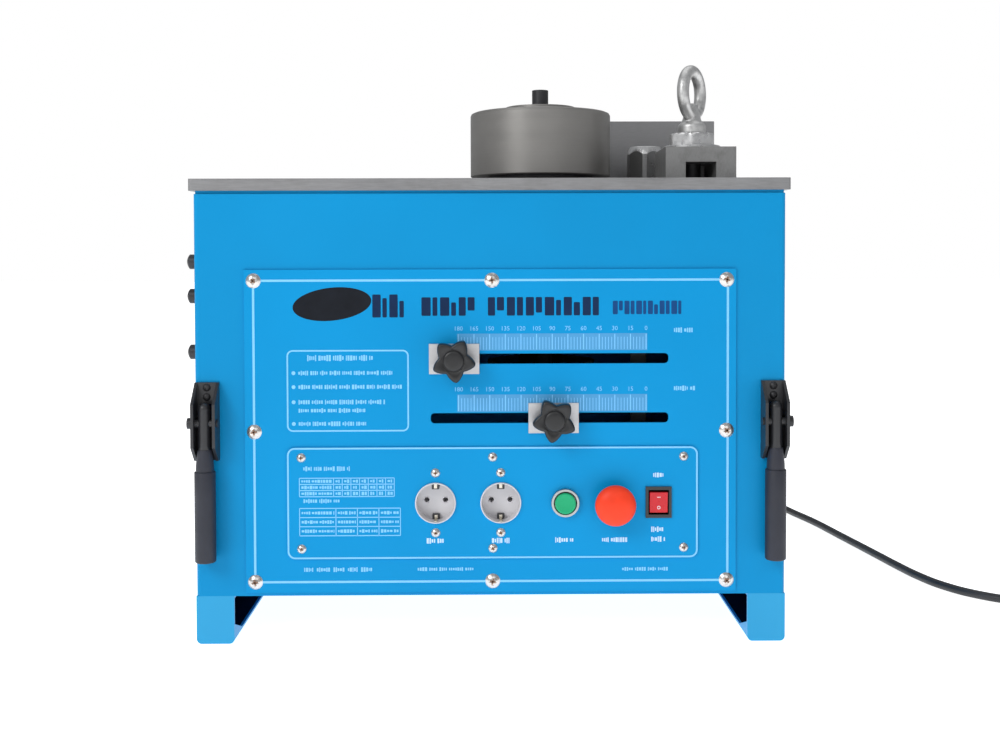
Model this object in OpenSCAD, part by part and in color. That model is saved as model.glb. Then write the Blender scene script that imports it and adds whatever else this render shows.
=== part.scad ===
// Table-top rebar bender. A gear train under a thick steel table turns a former and a bending
// arm, and two clamped sliders on the front panel set the angles at which the arm stops.
// The front faces -Y, +X is to the right, and the origin is on the floor under the case.

/* [Case] */
// Width of the folded case
case_w = 594; // [590:1:598]
// Depth of the folded case, without its rear cover
case_d = 520; // [515:1:530]
// Height of the case's top edge above the floor
case_top = 456; // [450:1:460]
// Height of the foot rails under the case
foot_h = 48.5; // [44:0.5:52]
// Width of each foot rail
foot_w = 38; // [34:1:42]
// Thickness of the sheet steel
sheet = 3; // [2.5:0.5:3]
// Thickness of the steel table
table_t = 12; // [10:1:14]
// How far the table stands out past the case
table_lip = 4; // [2:1:6]

/* [Front panel] */
// Width of the front panel
panel_w = 493; // [480:1:500]
// Height of the front panel
panel_h = 325; // [320:1:330]
// Height of the front panel's middle above the floor
panel_z = 214.5; // [212:0.5:217]
// Thickness of the front panel
panel_t = 2; // [1.5:0.5:2]
// Width of the plate that carries the sockets and switches
plate_w = 413; // [405:1:420]
// Height of that plate
plate_h = 113; // [110:1:116]
// Thickness of that plate
plate_t = 1.5; // [1:0.5:1.5]
// Height of the sockets and switches above the floor
plate_z = 142.5; // [140:0.5:145]

/* [Angle setting] */
// Height of the upper slider
slot_upper_z = 287.3; // [286:0.1:289]
// Height of the lower slider
slot_lower_z = 227.6; // [226:0.1:229]
// Length of each slider's slot
slot_len = 238.8; // [236:0.1:242]
// Height of each slider's slot
slot_h = 10.3; // [10:0.1:11]
// Middle of the slots, to the right of the case's middle
slot_x = 59.1; // [58:0.1:60]
// Place of the upper slider's middle
upper_x = -36.5; // [-37:0.5:100]
// Place of the lower slider's middle
lower_x = 63; // [0:0.5:100]

/* [Bending tools] */
// Spindle, to the right of the case's middle
spindle_x = 58; // [56:1:60]
// Spindle, behind the case's middle
spindle_y = -79; // [-81:1:-77]
// Radius of the centre former
former_r = 80; // [70:1:82]
// Height of the centre former
former_h = 72.3; // [60:0.1:76]
// Thickness of the bending arm
arm_t = 10.5; // [10:0.1:16]
// Distance from the spindle to the bending roller
arm_reach = 147; // [146:1:150]
// Radius of the bending roller
roller_r = 30; // [26:1:30]
// Height of the bending roller
roller_h = 60.3; // [50:0.1:62]
// Direction of the bending roller from the spindle, in degrees
arm_angle = 99.8; // [99:0.1:101]
// Height of the fence
fence_h = 88; // [80:1:90]
// Height of the stop cam
cam_h = 51; // [45:1:52]

/* [Handles] */
// Distance of each handle from the case's middle
handle_x = 284; // [283:1:285]
// Height of the handles' pivots
handle_z = 225; // [223:1:227]
// Radius of the handle's bar
bar_r = 6.25; // [6:0.05:6.25]
// Radius of the handle's grip
grip_r = 10.4; // [9:0.1:10.4]

/* [Power lead] */
// Radius of the power lead
cord_r = 4.75; // [4:0.05:4.75]
// Radius of the coil at the middle of its turns
coil_r = 55; // [50:1:58]

/* [Hidden] */
$fn = 64;
hair = 0.05;          // radial clearance of a running fit
eps = 1;              // how far a cutter runs past the face it cuts
front = -case_d / 2;
rear = case_d / 2;
corner_r = 5;
flange_w = 25;
panel_face = front - panel_t;
plate_face = panel_face - plate_t;
table_top = case_top + table_t;
cover_face = rear + sheet;

// Places of the screws in the front panel and in the plate, as [x, z]
panel_edge_x = 237;
panel_edge_z = 151.5;
panel_screw_at = [for (x = [-1, 1], z = [-1, 0, 1]) [x * panel_edge_x, panel_z + z * panel_edge_z],
    for (z = [-1, 1]) [1.5, panel_z + z * panel_edge_z]];
cover_screw_at = [for (x = [-1, 1], z = [80, 252, 424]) [x * 245, z], for (z = [80, 424]) [0, z]];
plate_x = 1.8;
plate_screw_at = [for (x = [-192, 0, 192], z = [-46, 46]) [plate_x + x, plate_z + z]];
socket_at = [-55.7, 9.8];
socket_screw_at = [for (x = socket_at, z = [-30.2, 30.2]) [x, plate_z + z]];
start_x = 74.5;
stop_x = 123.4;
rocker_x = 168.3;
socket_r = 19.3;
socket_depth = 17.5;
button_stem_r = 7.9;
button_sleeve_r = 11;

// Angle scale: the flag is at the 0 degree mark at rest and moves one mark for 15 degrees
scale_zero_x = 152.5;
scale_step = 15.4;
trip_z = 258;         // underside of the trip gears
trip_h = 12;
trip_m = 2;
trip_teeth = 59;
idler_teeth = 25;
idler_y = spindle_y - trip_m * (trip_teeth + idler_teeth) / 2;
rack_line = idler_y - trip_m * idler_teeth / 2;
rack_pitch = PI * trip_m;
rack_tooth_count = 36;

// Main gear train
gear_m = 4;
main_teeth = 64;
lay_pinion_teeth = 16;
lay_angle = 150;
lay_dist = gear_m * (main_teeth + lay_pinion_teeth) / 2;
lay_x = spindle_x + lay_dist * cos(lay_angle);
lay_y = spindle_y + lay_dist * sin(lay_angle);
motor_m = 2.5;
lay_gear_teeth = 60;
motor_teeth = 16;
motor_angle = 135;
motor_dist = motor_m * (lay_gear_teeth + motor_teeth) / 2;
motor_x = lay_x + motor_dist * cos(motor_angle);
motor_y = lay_y + motor_dist * sin(motor_angle);
gear_z = 395;         // underside of the main gear
gear_h = 30;
lay_gear_z = 350;
lay_gear_h = 22;
frame_z = 327;        // underside of the gear frame's plate
frame_t = 8;
frame_x = [-230, 205];
frame_y = [-195, 155];
post_at = [for (x = [-215, 188], y = [-178, 138]) [x, y]];
spindle_r = 25;
neck_r = 20;
bush_r = 32;
lay_r = 12;
lay_bush_r = 17;

// Bending tools
arm_z = table_top + 1.2;
former_z = arm_z + arm_t;
roller_z = former_z + 1;
roller_x = spindle_x + arm_reach * cos(arm_angle);
roller_y = spindle_y + arm_reach * sin(arm_angle);
roller_pin_r = 15;
former_washer_t = 7;
bolt_r = 6;
fence_x = [95, 280];
fence_y = [36, 96];
cam_x = 186.4;
cam_y = -22;
cam_flat = 21;        // distance from the cam's middle to its flats
cam_corner = 22.6;    // radius to which its corners are turned
cam_off = 2;          // how far its bore is off its middle
block_x = 230.8;
block_y = -108;
block_w = 77.3;
block_d = 84;
block_h = 40.7;
foot_lip = 6;         // height of the wall left on the open side of a foot rail
foot_corner = [35, 19];      // length and height of the corner kept behind its front
foot_end = 20;        // wall kept at its back end
tunnel_w = 33.4;
tunnel_h = 24;
tunnel_back = 12;     // wall left behind the tunnel
clamp_r = 10;
clamp_x = block_x - 3.3;
clamp_nut_r = 13.3;
clamp_flange_r = 32;
clamp_hex = 48;       // across its flats
clamp_flange_h = 4;
clamp_hex_h = 13.5;
eye_collar_r = 15.8;
eye_collar_h = 10.5;
eye_z = table_top + 103.5;
eye_mean = 25;
eye_wire = 6.9;
eye_turn = 58;        // the ring's plane, from the X axis
sink_r = 12;
sink_h = 6.5;
table_screw_at = concat(post_at, [for (x = [-1, 1], y = [-1, 1]) [x * 283, y * 235]]);
fence_screw_at = [for (x = [120, 188, 256]) [x, 66]];

// Handles: the bar's axis stands off the case by handle_off
handle_off = 13.5;
cheek_gap = 18.4;
bracket_w = 24.4;
bracket_z = [186.5, 264.5];
bar_top = 245.5;
grip_top = 199;
grip_bottom = 86.6;
grip_shoulder = 177.2;
pin_r = 4;
heel_w = 14;
heel_z = [218.4, 243];
handle_screw_at = [205, 250, 259.5];
handle_screw_r = 2.5;
side_bolt_at = [293, 350, 385];
side_bolt_y = front + 25;

// Power lead: its route on the floor, from the gland's sleeve to the coil
gland_x = 200;
gland_z = 100;
gland_end = cover_face + 67;
lead_route = [
    [200, 330, 100], [200, 352, 99], [201, 376, 90], [203, 398, 72], [206, 418, 48],
    [211, 438, 24], [219, 462, 8], [232, 490, 5], [256, 516, 5], [292, 532, 5],
    [332, 528, 5], [368, 506, 5], [398, 470, 5], [422, 424, 5], [438, 376, 5],
    [449, 325, 5], [464, 260, 5], [476, 186, 5], [487, 118, 5], [495, 67, 5],
    [502, 22, 5], [511, -26, 5], [525, -74, 5], [549, -116, 5], [586, -145, 5],
    [628, -155, 5], [676, -155, 5]];
tail_route = [[742, -90, 15], [742, -68, 15], [742, -47, 17], [742, -26, 18.5]];
coil_at = [675, -90];
coil_half = 15;       // half the coil's width
coil_h = 20;
plug_at = [742, -26, 18.5];
cord_sides = 10;

// ---- Shared shapes ----

// A box between two opposite corners.
module block(low, high) {
    translate(low) cube(high - low);
}

// A round bar along X, Y or Z, from one coordinate to the other.
module rod_x(r, from, to, y, z) {
    translate([from, y, z]) rotate([0, 90, 0]) cylinder(r = r, h = to - from);
}

module rod_y(r, from, to, x, z) {
    translate([x, to, z]) rotate([90, 0, 0]) cylinder(r = r, h = to - from);
}

module rod_z(r, from, to, x, y) {
    translate([x, y, from]) cylinder(r = r, h = to - from);
}

// A drawing in X and Z, laid on the plane at the back and thickened by t towards the front.
module on_front(back, t) {
    translate([0, back, 0]) rotate([90, 0, 0]) linear_extrude(t) children();
}

module rounded_rect(w, h, r) {
    square([w - 2 * r, h], center = true);
    square([w, h - 2 * r], center = true);
    for (x = [-1, 1], y = [-1, 1])
        translate([x * (w / 2 - r), y * (h / 2 - r)]) circle(r = r);
}

// A countersunk screw with a hexagon socket, its head's top at the given height.
module sunk_screw(x, y, top, length) {
    difference() {
        union() {
            translate([x, y, top - sink_h]) cylinder(r1 = bolt_r, r2 = sink_r, h = sink_h);
            rod_z(bolt_r, top - length, top - sink_h, x, y);
        }
        translate([x, y, top - 5]) cylinder(r = 4.6, h = 5 + eps, $fn = 6);
    }
}

// The hole that a countersunk screw fills.
module sunk_hole(x, y, top, bottom) {
    translate([x, y, top - sink_h]) cylinder(r1 = bolt_r, r2 = sink_r, h = sink_h);
    rod_z(bolt_r, bottom, top - sink_h, x, y);
}

// A low domed screw head with a cross recess, and its shank.
module dome_screw(x, z, face, head_r, head_h, shank_r, shank_l) {
    ball_r = (head_r * head_r + head_h * head_h) / (2 * head_h);
    difference() {
        intersection() {
            rod_y(head_r, face - head_h, face, x, z);
            translate([x, face - head_h + ball_r, z]) sphere(r = ball_r);
        }
        for (turn = [0, 90])
            translate([x, face - head_h, z]) rotate([0, turn, 0])
                cube([head_r * 1.1, head_h * 0.9, head_r * 0.28], center = true);
    }
    rod_y(shank_r, face, face + shank_l, x, z);
}

// ---- Gears ----

function involute(a) = tan(a) - a * PI / 180;

// Half of a tooth's angle at radius r, in degrees, less its share of the backlash.
function tooth_half(r, m, z) = let (
    pitch_r = m * z / 2,
    base_r = pitch_r * cos(20),
    slack = 0.15 / pitch_r,
    here = involute(acos(min(1, base_r / max(r, base_r)))))
    90 / z + (involute(20) - here - slack) * 180 / PI;

// One tooth's outline, from the root on one side to the root on the other.
function tooth_points(m, z, at) = let (
    pitch_r = m * z / 2,
    root_r = pitch_r - 1.25 * m,
    low_r = max(root_r + 0.1 * m, pitch_r * cos(20)),
    radii = concat([root_r], [for (i = [0:4]) low_r + (pitch_r + m - low_r) * i / 4]))
    concat(
        [for (r = radii) let (a = at - tooth_half(r, m, z)) [r * cos(a), r * sin(a)]],
        [for (i = [len(radii) - 1:-1:0]) let (r = radii[i], a = at + tooth_half(r, m, z))
            [r * cos(a), r * sin(a)]]);

// A spur gear of z teeth, turned so that one tooth is centred on the given direction.
module spur_gear(m, z, h, turn) {
    linear_extrude(h)
        polygon([for (k = [0:z - 1]) each tooth_points(m, z, turn + k * 360 / z)]);
}

// ---- Case ----

// The case seen from above: a rectangle with its two front corners rounded.
module case_outline() {
    w = case_w / 2;
    translate([-w, front + corner_r]) square([2 * w, case_d - corner_r]);
    translate([-w + corner_r, front]) square([2 * (w - corner_r), 2 * corner_r]);
    for (x = [-1, 1])
        translate([x * (w - corner_r), front + corner_r]) circle(r = corner_r);
}

// The openings that each handle's heel swings into.
module heel_windows() {
    for (x = [-1, 1])
        for (y = [front, rear])
            block([x * handle_x - heel_w / 2, y - 8, heel_z[0]],
                [x * handle_x + heel_w / 2, y + 8, heel_z[1]]);
}

module body_shell() {
    half = case_w / 2 - sheet;
    open_half = case_w / 2 - flange_w;
    rear_half = case_w / 2 - 22;
    color("dodgerblue") difference() {
        translate([0, 0, foot_h]) linear_extrude(case_top - foot_h) case_outline();
        block([-half, front + sheet, foot_h + sheet], [half, rear - sheet, case_top - sheet]);
        block([-rear_half, rear - sheet - eps, foot_h + sheet],
            [rear_half, rear + eps, case_top - sheet]);
        block([-open_half, front + flange_w, foot_h - eps], [open_half, rear + eps, case_top + eps]);
        // A shadow gap under the table.
        block([-case_w, front - eps, case_top - 3], [case_w, front + 2, case_top + eps]);
        for (x = [-case_w, case_w / 2 - 2])
            block([x, front - eps, case_top - 3],
                [x + case_w / 2 + 2, rear + eps, case_top + eps]);
        block([-225, front - eps, 75], [225, front + sheet + eps, 355]);
        heel_windows();
        for (at = panel_screw_at)
            rod_y(3, front - eps, front + sheet + eps, at[0], at[1]);
        for (x = [-1, 1], z = handle_screw_at)
            for (y = [front, rear - sheet])
                rod_y(handle_screw_r, y - eps, y + sheet + eps, x * handle_x, z);
        for (z = side_bolt_at)
            rod_x(4, -case_w / 2 - eps, -case_w / 2 + sheet + eps, side_bolt_y, z);
        for (x = [-1, 1], y = [-1, 1])
            rod_z(bolt_r, case_top - sheet - eps, case_top + eps, x * 283, y * 235);
    }
}

module rear_cover() {
    color("dodgerblue") difference() {
        block([-case_w / 2, rear, foot_h + 1], [case_w / 2, cover_face, case_top - 1]);
        heel_windows();
        for (at = cover_screw_at)
            rod_y(3, rear - eps, cover_face + eps, at[0], at[1]);
        for (x = [-1, 1], z = handle_screw_at)
            rod_y(handle_screw_r, rear - eps, cover_face + eps, x * handle_x, z);
        for (x = [-150, 60], row = [0:7])
            block([x - 40, rear - eps, 290 + row * 14], [x + 50, cover_face + eps, 295 + row * 14]);
        rod_y(9, rear - eps, cover_face + eps, gland_x, gland_z);
    }
}

module base_pan() {
    color("dodgerblue") difference() {
        block([-290, front + 7, foot_h + sheet], [290, rear - 7, foot_h + 2 * sheet]);
        for (x = [-120:40:120])
            block([x - 4, 60, foot_h], [x + 4, 160, foot_h + 3 * sheet]);
    }
}

// A closed-fronted tube under each side of the case.
module foot_rails() {
    color("deepskyblue") for (x = [-1, 1])
        translate([x * (case_w - foot_w) / 2, 0, foot_h / 2]) difference() {
            translate([0, rear, 0]) rotate([90, 0, 0]) linear_extrude(case_d) {
                rounded_rect(foot_w, foot_h, corner_r);
                translate([-foot_w / 2, 0]) square([foot_w, foot_h / 2]);
            }
            translate([0, rear + eps, 0]) rotate([90, 0, 0]) linear_extrude(case_d - sheet + eps)
                rounded_rect(foot_w - 2 * sheet, foot_h - 2 * sheet, corner_r - sheet);
            // the side towards the middle is open above a low lip, deeper at the front corner
            translate([-x * (foot_w / 2 - sheet / 2), 0, 0]) rotate([90, 0, 90])
                linear_extrude(sheet + 2 * eps, center = true)
                    translate([0, -foot_h / 2]) polygon([[front + sheet, foot_corner[1]],
                        [front + sheet + foot_corner[0], foot_lip], [rear - foot_end, foot_lip],
                        [rear - foot_end, foot_h - sheet], [front + sheet, foot_h - sheet]]);
        }
}

module top_plate() {
    color("darkgray") difference() {
        translate([0, 1.5, case_top]) linear_extrude(table_t)
            rounded_rect(case_w + 2 * table_lip, case_d + sheet + 2 * table_lip, 3);
        rod_z(bush_r, case_top - eps, table_top + eps, spindle_x, spindle_y);
        rod_z(lay_bush_r, case_top - eps, case_top + 8, lay_x, lay_y);
        rod_z(8, case_top - eps, table_top + eps, cam_x, cam_y);
        rod_z(clamp_r, case_top - eps, table_top + eps, clamp_x, block_y);
        for (at = table_screw_at)
            sunk_hole(at[0], at[1], table_top, case_top - eps);
        for (at = fence_screw_at)
            rod_z(bolt_r, case_top - eps, table_top + eps, at[0], at[1]);
    }
}

module table_screws() {
    color("dimgray") {
        for (at = post_at)
            sunk_screw(at[0], at[1], table_top, 32);
        for (x = [-1, 1], y = [-1, 1])
            sunk_screw(x * 283, y * 235, table_top, 24);
        for (at = fence_screw_at)
            sunk_screw(at[0], at[1], table_top + fence_h, fence_h + table_t);
    }
}

// ---- Front panel ----

module slot_shape(z) {
    translate([slot_x, z]) rounded_rect(slot_len, slot_h, 4);
}

module front_panel() {
    color("dodgerblue") difference() {
        on_front(front, panel_t) difference() {
            translate([0, panel_z]) square([panel_w, panel_h], center = true);
            slot_shape(slot_upper_z);
            slot_shape(slot_lower_z);
            translate([50, plate_z]) square([272, 76], center = true);
        }
        for (at = panel_screw_at)
            rod_y(3, panel_face - eps, front + eps, at[0], at[1]);
        for (at = plate_screw_at)
            rod_y(2, panel_face - eps, front + eps, at[0], at[1]);
    }
}

module electrical_plate() {
    color("dodgerblue") difference() {
        on_front(panel_face, plate_t) translate([plate_x, plate_z])
            rounded_rect(plate_w, plate_h, 8);
        for (x = socket_at)
            rod_y(socket_r + 1.2, plate_face - eps, panel_face + eps, x, plate_z);
        for (x = [start_x, stop_x])
            rod_y(button_sleeve_r, plate_face - eps, panel_face + eps, x, plate_z);
        for (at = concat(plate_screw_at, socket_screw_at))
            rod_y(2, plate_face - eps, panel_face + eps, at[0], at[1]);
        block([rocker_x - 11, plate_face - eps, plate_z - 14.3],
            [rocker_x + 11, panel_face + eps, plate_z + 14.3]);
    }
}

module panel_screws() {
    color("silver") {
        for (at = panel_screw_at)
            dome_screw(at[0], at[1], panel_face, 7.5, 3.4, 3, 9);
        for (at = cover_screw_at)
            mirror([0, 1, 0]) dome_screw(at[0], at[1], -cover_face, 7.5, 3.4, 3, 9);
    }
}

module plate_screws() {
    color("silver") for (at = concat(plate_screw_at, socket_screw_at))
        dome_screw(at[0], at[1], plate_face, 4.7, 2.6, 2, 7);
}

// Two recessed sockets, each held from behind by a flange.
module sockets() {
    color("gainsboro") for (x = socket_at) difference() {
        union() {
            rod_y(socket_r + 1.2, plate_face - 1.7, panel_face, x, plate_z);
            on_front(panel_face + 3, 3) translate([x, plate_z]) square([46, 72], center = true);
            rod_y(22, panel_face + 3, panel_face + 30, x, plate_z);
        }
        rod_y(socket_r, plate_face - 1.7 - eps, plate_face - 1.7 + socket_depth, x, plate_z);
        for (side = [-9.5, 9.5])
            rod_y(2.6, plate_face, panel_face + 27, x + side, plate_z);
        for (z = [-30.2, 30.2])
            rod_y(2, panel_face - eps, panel_face + 3 + eps, x, plate_z + z);
    }
}

// A push button's housing: the ring in front, its sleeve, and the lock nut behind the plate.
module button_housing(x, ring_r, ring_h, pocket_r) {
    difference() {
        union() {
            rod_y(ring_r, plate_face - ring_h, plate_face, x, plate_z);
            rod_y(button_sleeve_r, plate_face, plate_face + 24, x, plate_z);
        }
        rod_y(button_stem_r + 0.2, plate_face - ring_h - eps, plate_face + 24 + eps, x, plate_z);
        rod_y(pocket_r, plate_face - ring_h - eps, plate_face - 1, x, plate_z);
    }
    difference() {
        rod_y(14, panel_face, panel_face + 5, x, plate_z);
        rod_y(button_sleeve_r, panel_face - eps, panel_face + 5 + eps, x, plate_z);
    }
}

module start_bezel() {
    color("silver") button_housing(start_x, 14, 5, 11.6);
}

module start_button() {
    color("mediumseagreen") {
        rod_y(11.2, plate_face - 7.5, plate_face - 3.7, start_x, plate_z);
        rod_y(button_stem_r, plate_face - 3.7, plate_face + 26, start_x, plate_z);
    }
}

module stop_collar() {
    color("dimgray") button_housing(stop_x, 15, 3, button_stem_r + 0.2);
}

module stop_button() {
    dome_r = 28;
    cap_r = 20.35;
    color("orangered") {
        intersection() {
            rod_y(cap_r, plate_face - 28, plate_face - 14, stop_x, plate_z);
            translate([stop_x, plate_face - 28 + dome_r, plate_z]) sphere(r = dome_r, $fn = 96);
        }
        rod_y(9.5, plate_face - 14, plate_face - 7.5, stop_x, plate_z);
        rod_y(button_stem_r, plate_face - 7.5, plate_face + 26, stop_x, plate_z);
    }
}

rocker_pivot_y = plate_face + 2.5;
rocker_rest = 8;      // the key rests with its lower end in

module rocker_frame() {
    color("black") difference() {
        union() {
            on_front(plate_face, 2) translate([rocker_x, plate_z]) square([26, 31.4], center = true);
            on_front(plate_face + 19, 19) translate([rocker_x, plate_z])
                square([22, 28.6], center = true);
        }
        on_front(plate_face + 16, 16 + 2 + eps) translate([rocker_x, plate_z])
            square([20.4, 24.8], center = true);
        rod_x(1.55, rocker_x - 10.6, rocker_x + 10.6, rocker_pivot_y, plate_z);
    }
}

module rocker_key() {
    profile = [[-6.5, 11.3], [-4, 0], [-6.5, -11.3], [2, -10.4], [4, 0], [2, 10.4]];
    color("crimson") translate([rocker_x, rocker_pivot_y, plate_z]) rotate([rocker_rest, 0, 0]) {
        translate([-9.9, 0, 0]) rotate([90, 0, 90]) linear_extrude(19.8) polygon(profile);
        rod_x(1.5, -10.5, 10.5, 0, 0);
    }
}

// ---- Angle setting ----

// A clamped slider: face plate, neck in the slot, backing block, stud and its sensor.
module slider(x, z) {
    color("silver") {
        on_front(panel_face - 0.3, 2) translate([x, z]) square([50.5, 30.4], center = true);
        on_front(front + 0.4, panel_t + 0.7) translate([x, z]) square([20, 9.7], center = true);
        on_front(front + 12.4, 12) translate([x, z]) square([44, 26], center = true);
        rod_y(4, panel_face - 22.3, panel_face - 2.3, x, z);
    }
    color("darkorange") translate([x, front + 21.4, z]) cube([14, 18, 20], center = true);
}

module slider_upper() {
    slider(upper_x, slot_upper_z);
}

module slider_lower() {
    slider(lower_x, slot_lower_z);
}

// A star knob with five lobes, on a neck, with a round cap.
module star_knob(x, z, turn) {
    tip = 22;
    valley = 15.8;
    back = panel_face - 2.6;
    color("dimgray") difference() {
        union() {
            rod_y(8, back - 9, back, x, z);
            translate([x, back - 9, z]) rotate([90, turn, 0]) linear_extrude(14)
                polygon([for (i = [0:4]) each [for (p = [[-36, valley], [-11, tip - 1.2], [0, tip],
                    [11, tip - 1.2]]) [p[1] * cos(72 * i + p[0]), p[1] * sin(72 * i + p[0])]]]);
            rod_y(10, back - 25, back - 22, x, z);
        }
        rod_y(4 + hair, back - 20.5, back + eps, x, z);
    }
}

module knob_upper() {
    star_knob(upper_x, slot_upper_z, 83);
}

module knob_lower() {
    star_knob(lower_x, slot_lower_z, 98);
}

// ---- Handles, drawn at a case face on y = 0 that looks towards -Y ----

module at_handle(x, end) {
    if (end > 0)
        translate([x * handle_x, cover_face, 0]) rotate([0, 0, 180]) children();
    else
        translate([x * handle_x, front, 0]) children();
}

module bracket() {
    half = bracket_w / 2;
    cheek = [[0, bracket_z[0]], [-7, bracket_z[0]], [-22, bracket_z[0] + 15],
        [-22, bracket_z[1] - 20], [-3, bracket_z[1]], [0, bracket_z[1]]];
    difference() {
        union() {
            block([-half, -sheet, bracket_z[0]], [half, 0, bracket_z[1]]);
            for (x = [-half, cheek_gap / 2])
                translate([x, 0, 0]) rotate([90, 0, 90]) linear_extrude(sheet) polygon(cheek);
        }
        block([-heel_w / 2, -sheet - eps, heel_z[0]], [heel_w / 2, eps, heel_z[1]]);
        rod_x(pin_r - hair, -half - eps, half + eps, -handle_off, handle_z);
        for (z = handle_screw_at)
            rod_y(handle_screw_r, -sheet - eps, eps, 0, z);
    }
}

module handle_brackets() {
    color("dimgray") for (x = [-1, 1], end = [-1, 1])
        at_handle(x, end) bracket();
}

// One bracket's pivot pin, its head on the case's outer side, and its three screws.
module bracket_fasteners(outer) {
    half = bracket_w / 2;
    rod_x(pin_r - hair, -half - 1.5, half + 1.5, -handle_off, handle_z);
    rod_x(5.5, outer < 0 ? -half - 4.5 : half, outer < 0 ? -half : half + 4.5,
        -handle_off, handle_z);
    for (z = handle_screw_at)
        dome_screw(0, z, -sheet, 4, 2.5, handle_screw_r, 10);
}

module handle_fasteners() {
    color("black") for (x = [-1, 1], end = [-1, 1])
        at_handle(x, end) bracket_fasteners(-x * end);
}

module lever() {
    color("dimgray") translate([0, -handle_off, 0]) difference() {
        union() {
            rod_z(bar_r, grip_bottom + 6, bar_top - bar_r, 0, 0);
            translate([0, 0, bar_top - bar_r]) sphere(r = bar_r);
        }
        rod_x(pin_r, -bar_r - eps, bar_r + eps, 0, handle_z);
    }
}

module grip() {
    neck = bar_r + 2.65;
    profile = [[bar_r, grip_top], [bar_r + 0.7, grip_top], [bar_r + 1.5, grip_top - 7],
        [neck - 0.3, grip_top - 13], [neck, grip_top - 19], [neck, grip_shoulder],
        [grip_r - 0.6, grip_shoulder], [grip_r, grip_shoulder - 0.6], [grip_r, grip_bottom + 1.6],
        [grip_r - 0.6, grip_bottom + 0.4], [grip_r - 1.8, grip_bottom], [0, grip_bottom],
        [0, grip_bottom + 6], [bar_r, grip_bottom + 6]];
    color("darkslategray") translate([0, -handle_off, 0]) rotate_extrude() polygon(profile);
}

module lever_front_left() { at_handle(-1, -1) lever(); }
module lever_front_right() { at_handle(1, -1) lever(); }
module lever_rear_left() { at_handle(-1, 1) lever(); }
module lever_rear_right() { at_handle(1, 1) lever(); }
module grip_front_left() { at_handle(-1, -1) grip(); }
module grip_front_right() { at_handle(1, -1) grip(); }
module grip_rear_left() { at_handle(-1, 1) grip(); }
module grip_rear_right() { at_handle(1, 1) grip(); }

// Capped bolts through the left wall.
module side_bolts() {
    side = -case_w / 2;
    color("black") for (z = side_bolt_at) {
        intersection() {
            rod_x(7.5, side - 12, side, side_bolt_y, z);
            translate([side - 1, side_bolt_y, z]) sphere(r = 11);
        }
        rod_x(4, side, side + 12, side_bolt_y, z);
    }
}

// ---- Bending tools ----

module bending_arm() {
    color("dimgray") difference() {
        union() {
            rod_z(60, arm_z, arm_z + arm_t, spindle_x, spindle_y);
            rod_z(roller_r, arm_z, arm_z + arm_t, roller_x, roller_y);
            translate([spindle_x, spindle_y, arm_z]) rotate([0, 0, arm_angle])
                linear_extrude(arm_t) polygon([[0, -50], [arm_reach, -roller_r + 3],
                    [arm_reach, roller_r - 3], [0, 50]]);
        }
        rod_z(neck_r, arm_z - eps, arm_z + arm_t + eps, spindle_x, spindle_y);
        rod_z(roller_pin_r, arm_z - eps, arm_z + arm_t + eps, roller_x, roller_y);
    }
}

// A plain drum, its upper edge rounded and its lower edge barely broken.
module drum(r, bore, h, ease) {
    rotate_extrude() polygon([[bore, 0], [r - 0.8, 0], [r, 0.8],
        [r, h - ease], [r - ease * 0.3, h - ease * 0.3], [r - ease, h], [bore, h]]);
}

module centre_former() {
    color("gray") translate([spindle_x, spindle_y, former_z]) drum(former_r, neck_r, former_h, 3.5);
}

module former_washer() {
    color("darkgray") difference() {
        rod_z(40, former_z + former_h, former_z + former_h + former_washer_t,
            spindle_x, spindle_y);
        rod_z(bolt_r, former_z, former_z + former_h + former_washer_t + eps,
            spindle_x, spindle_y);
    }
}

module former_bolt() {
    seat = former_z + former_h + former_washer_t;
    color("black") difference() {
        union() {
            rod_z(9.3, seat, seat + 20, spindle_x, spindle_y);
            rod_z(bolt_r, seat - 36, seat, spindle_x, spindle_y);
        }
        translate([spindle_x, spindle_y, seat + 11]) cylinder(r = 5.77, h = 10, $fn = 6);
    }
}

module bending_roller() {
    color("gray") translate([roller_x, roller_y, roller_z])
        drum(roller_r, roller_pin_r + hair, roller_h, 2);
}

module roller_pin() {
    top = roller_z + roller_h + 1;
    color("darkgray") {
        rod_z(roller_pin_r, arm_z, top, roller_x, roller_y);
        rod_z(21, top, top + 5, roller_x, roller_y);
    }
}

module fence_block() {
    color("gray") difference() {
        block([fence_x[0], fence_y[0], table_top], [fence_x[1], fence_y[1], table_top + fence_h]);
        for (at = fence_screw_at)
            sunk_hole(at[0], at[1], table_top + fence_h, table_top - eps);
    }
}

// A six-sided stop whose corners and ends are turned, on a bore that is off its middle.
module stop_cam() {
    color("darkgray") difference() {
        translate([cam_x, cam_y + cam_off, table_top]) intersection() {
            rotate([0, 0, 22]) cylinder(r = cam_flat / cos(30), h = cam_h, $fn = 6);
            rotate_extrude() polygon([[0, 0], [cam_flat - 3, 0], [cam_corner, 9.5],
                [cam_corner, cam_h - 9.5], [cam_flat - 3, cam_h], [0, cam_h]]);
        }
        rod_z(8 + hair, table_top - eps, table_top + cam_h + eps, cam_x, cam_y);
        rod_z(13.5, table_top + cam_h - 11, table_top + cam_h + eps, cam_x, cam_y);
    }
}

module cam_bolt() {
    seat = table_top + cam_h - 10.7;
    color("black") difference() {
        union() {
            rod_z(12, seat, seat + 10, cam_x, cam_y);
            rod_z(8, case_top, seat, cam_x, cam_y);
        }
        translate([cam_x, cam_y, seat + 4]) cylinder(r = 8, h = 8, $fn = 6);
    }
}

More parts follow.
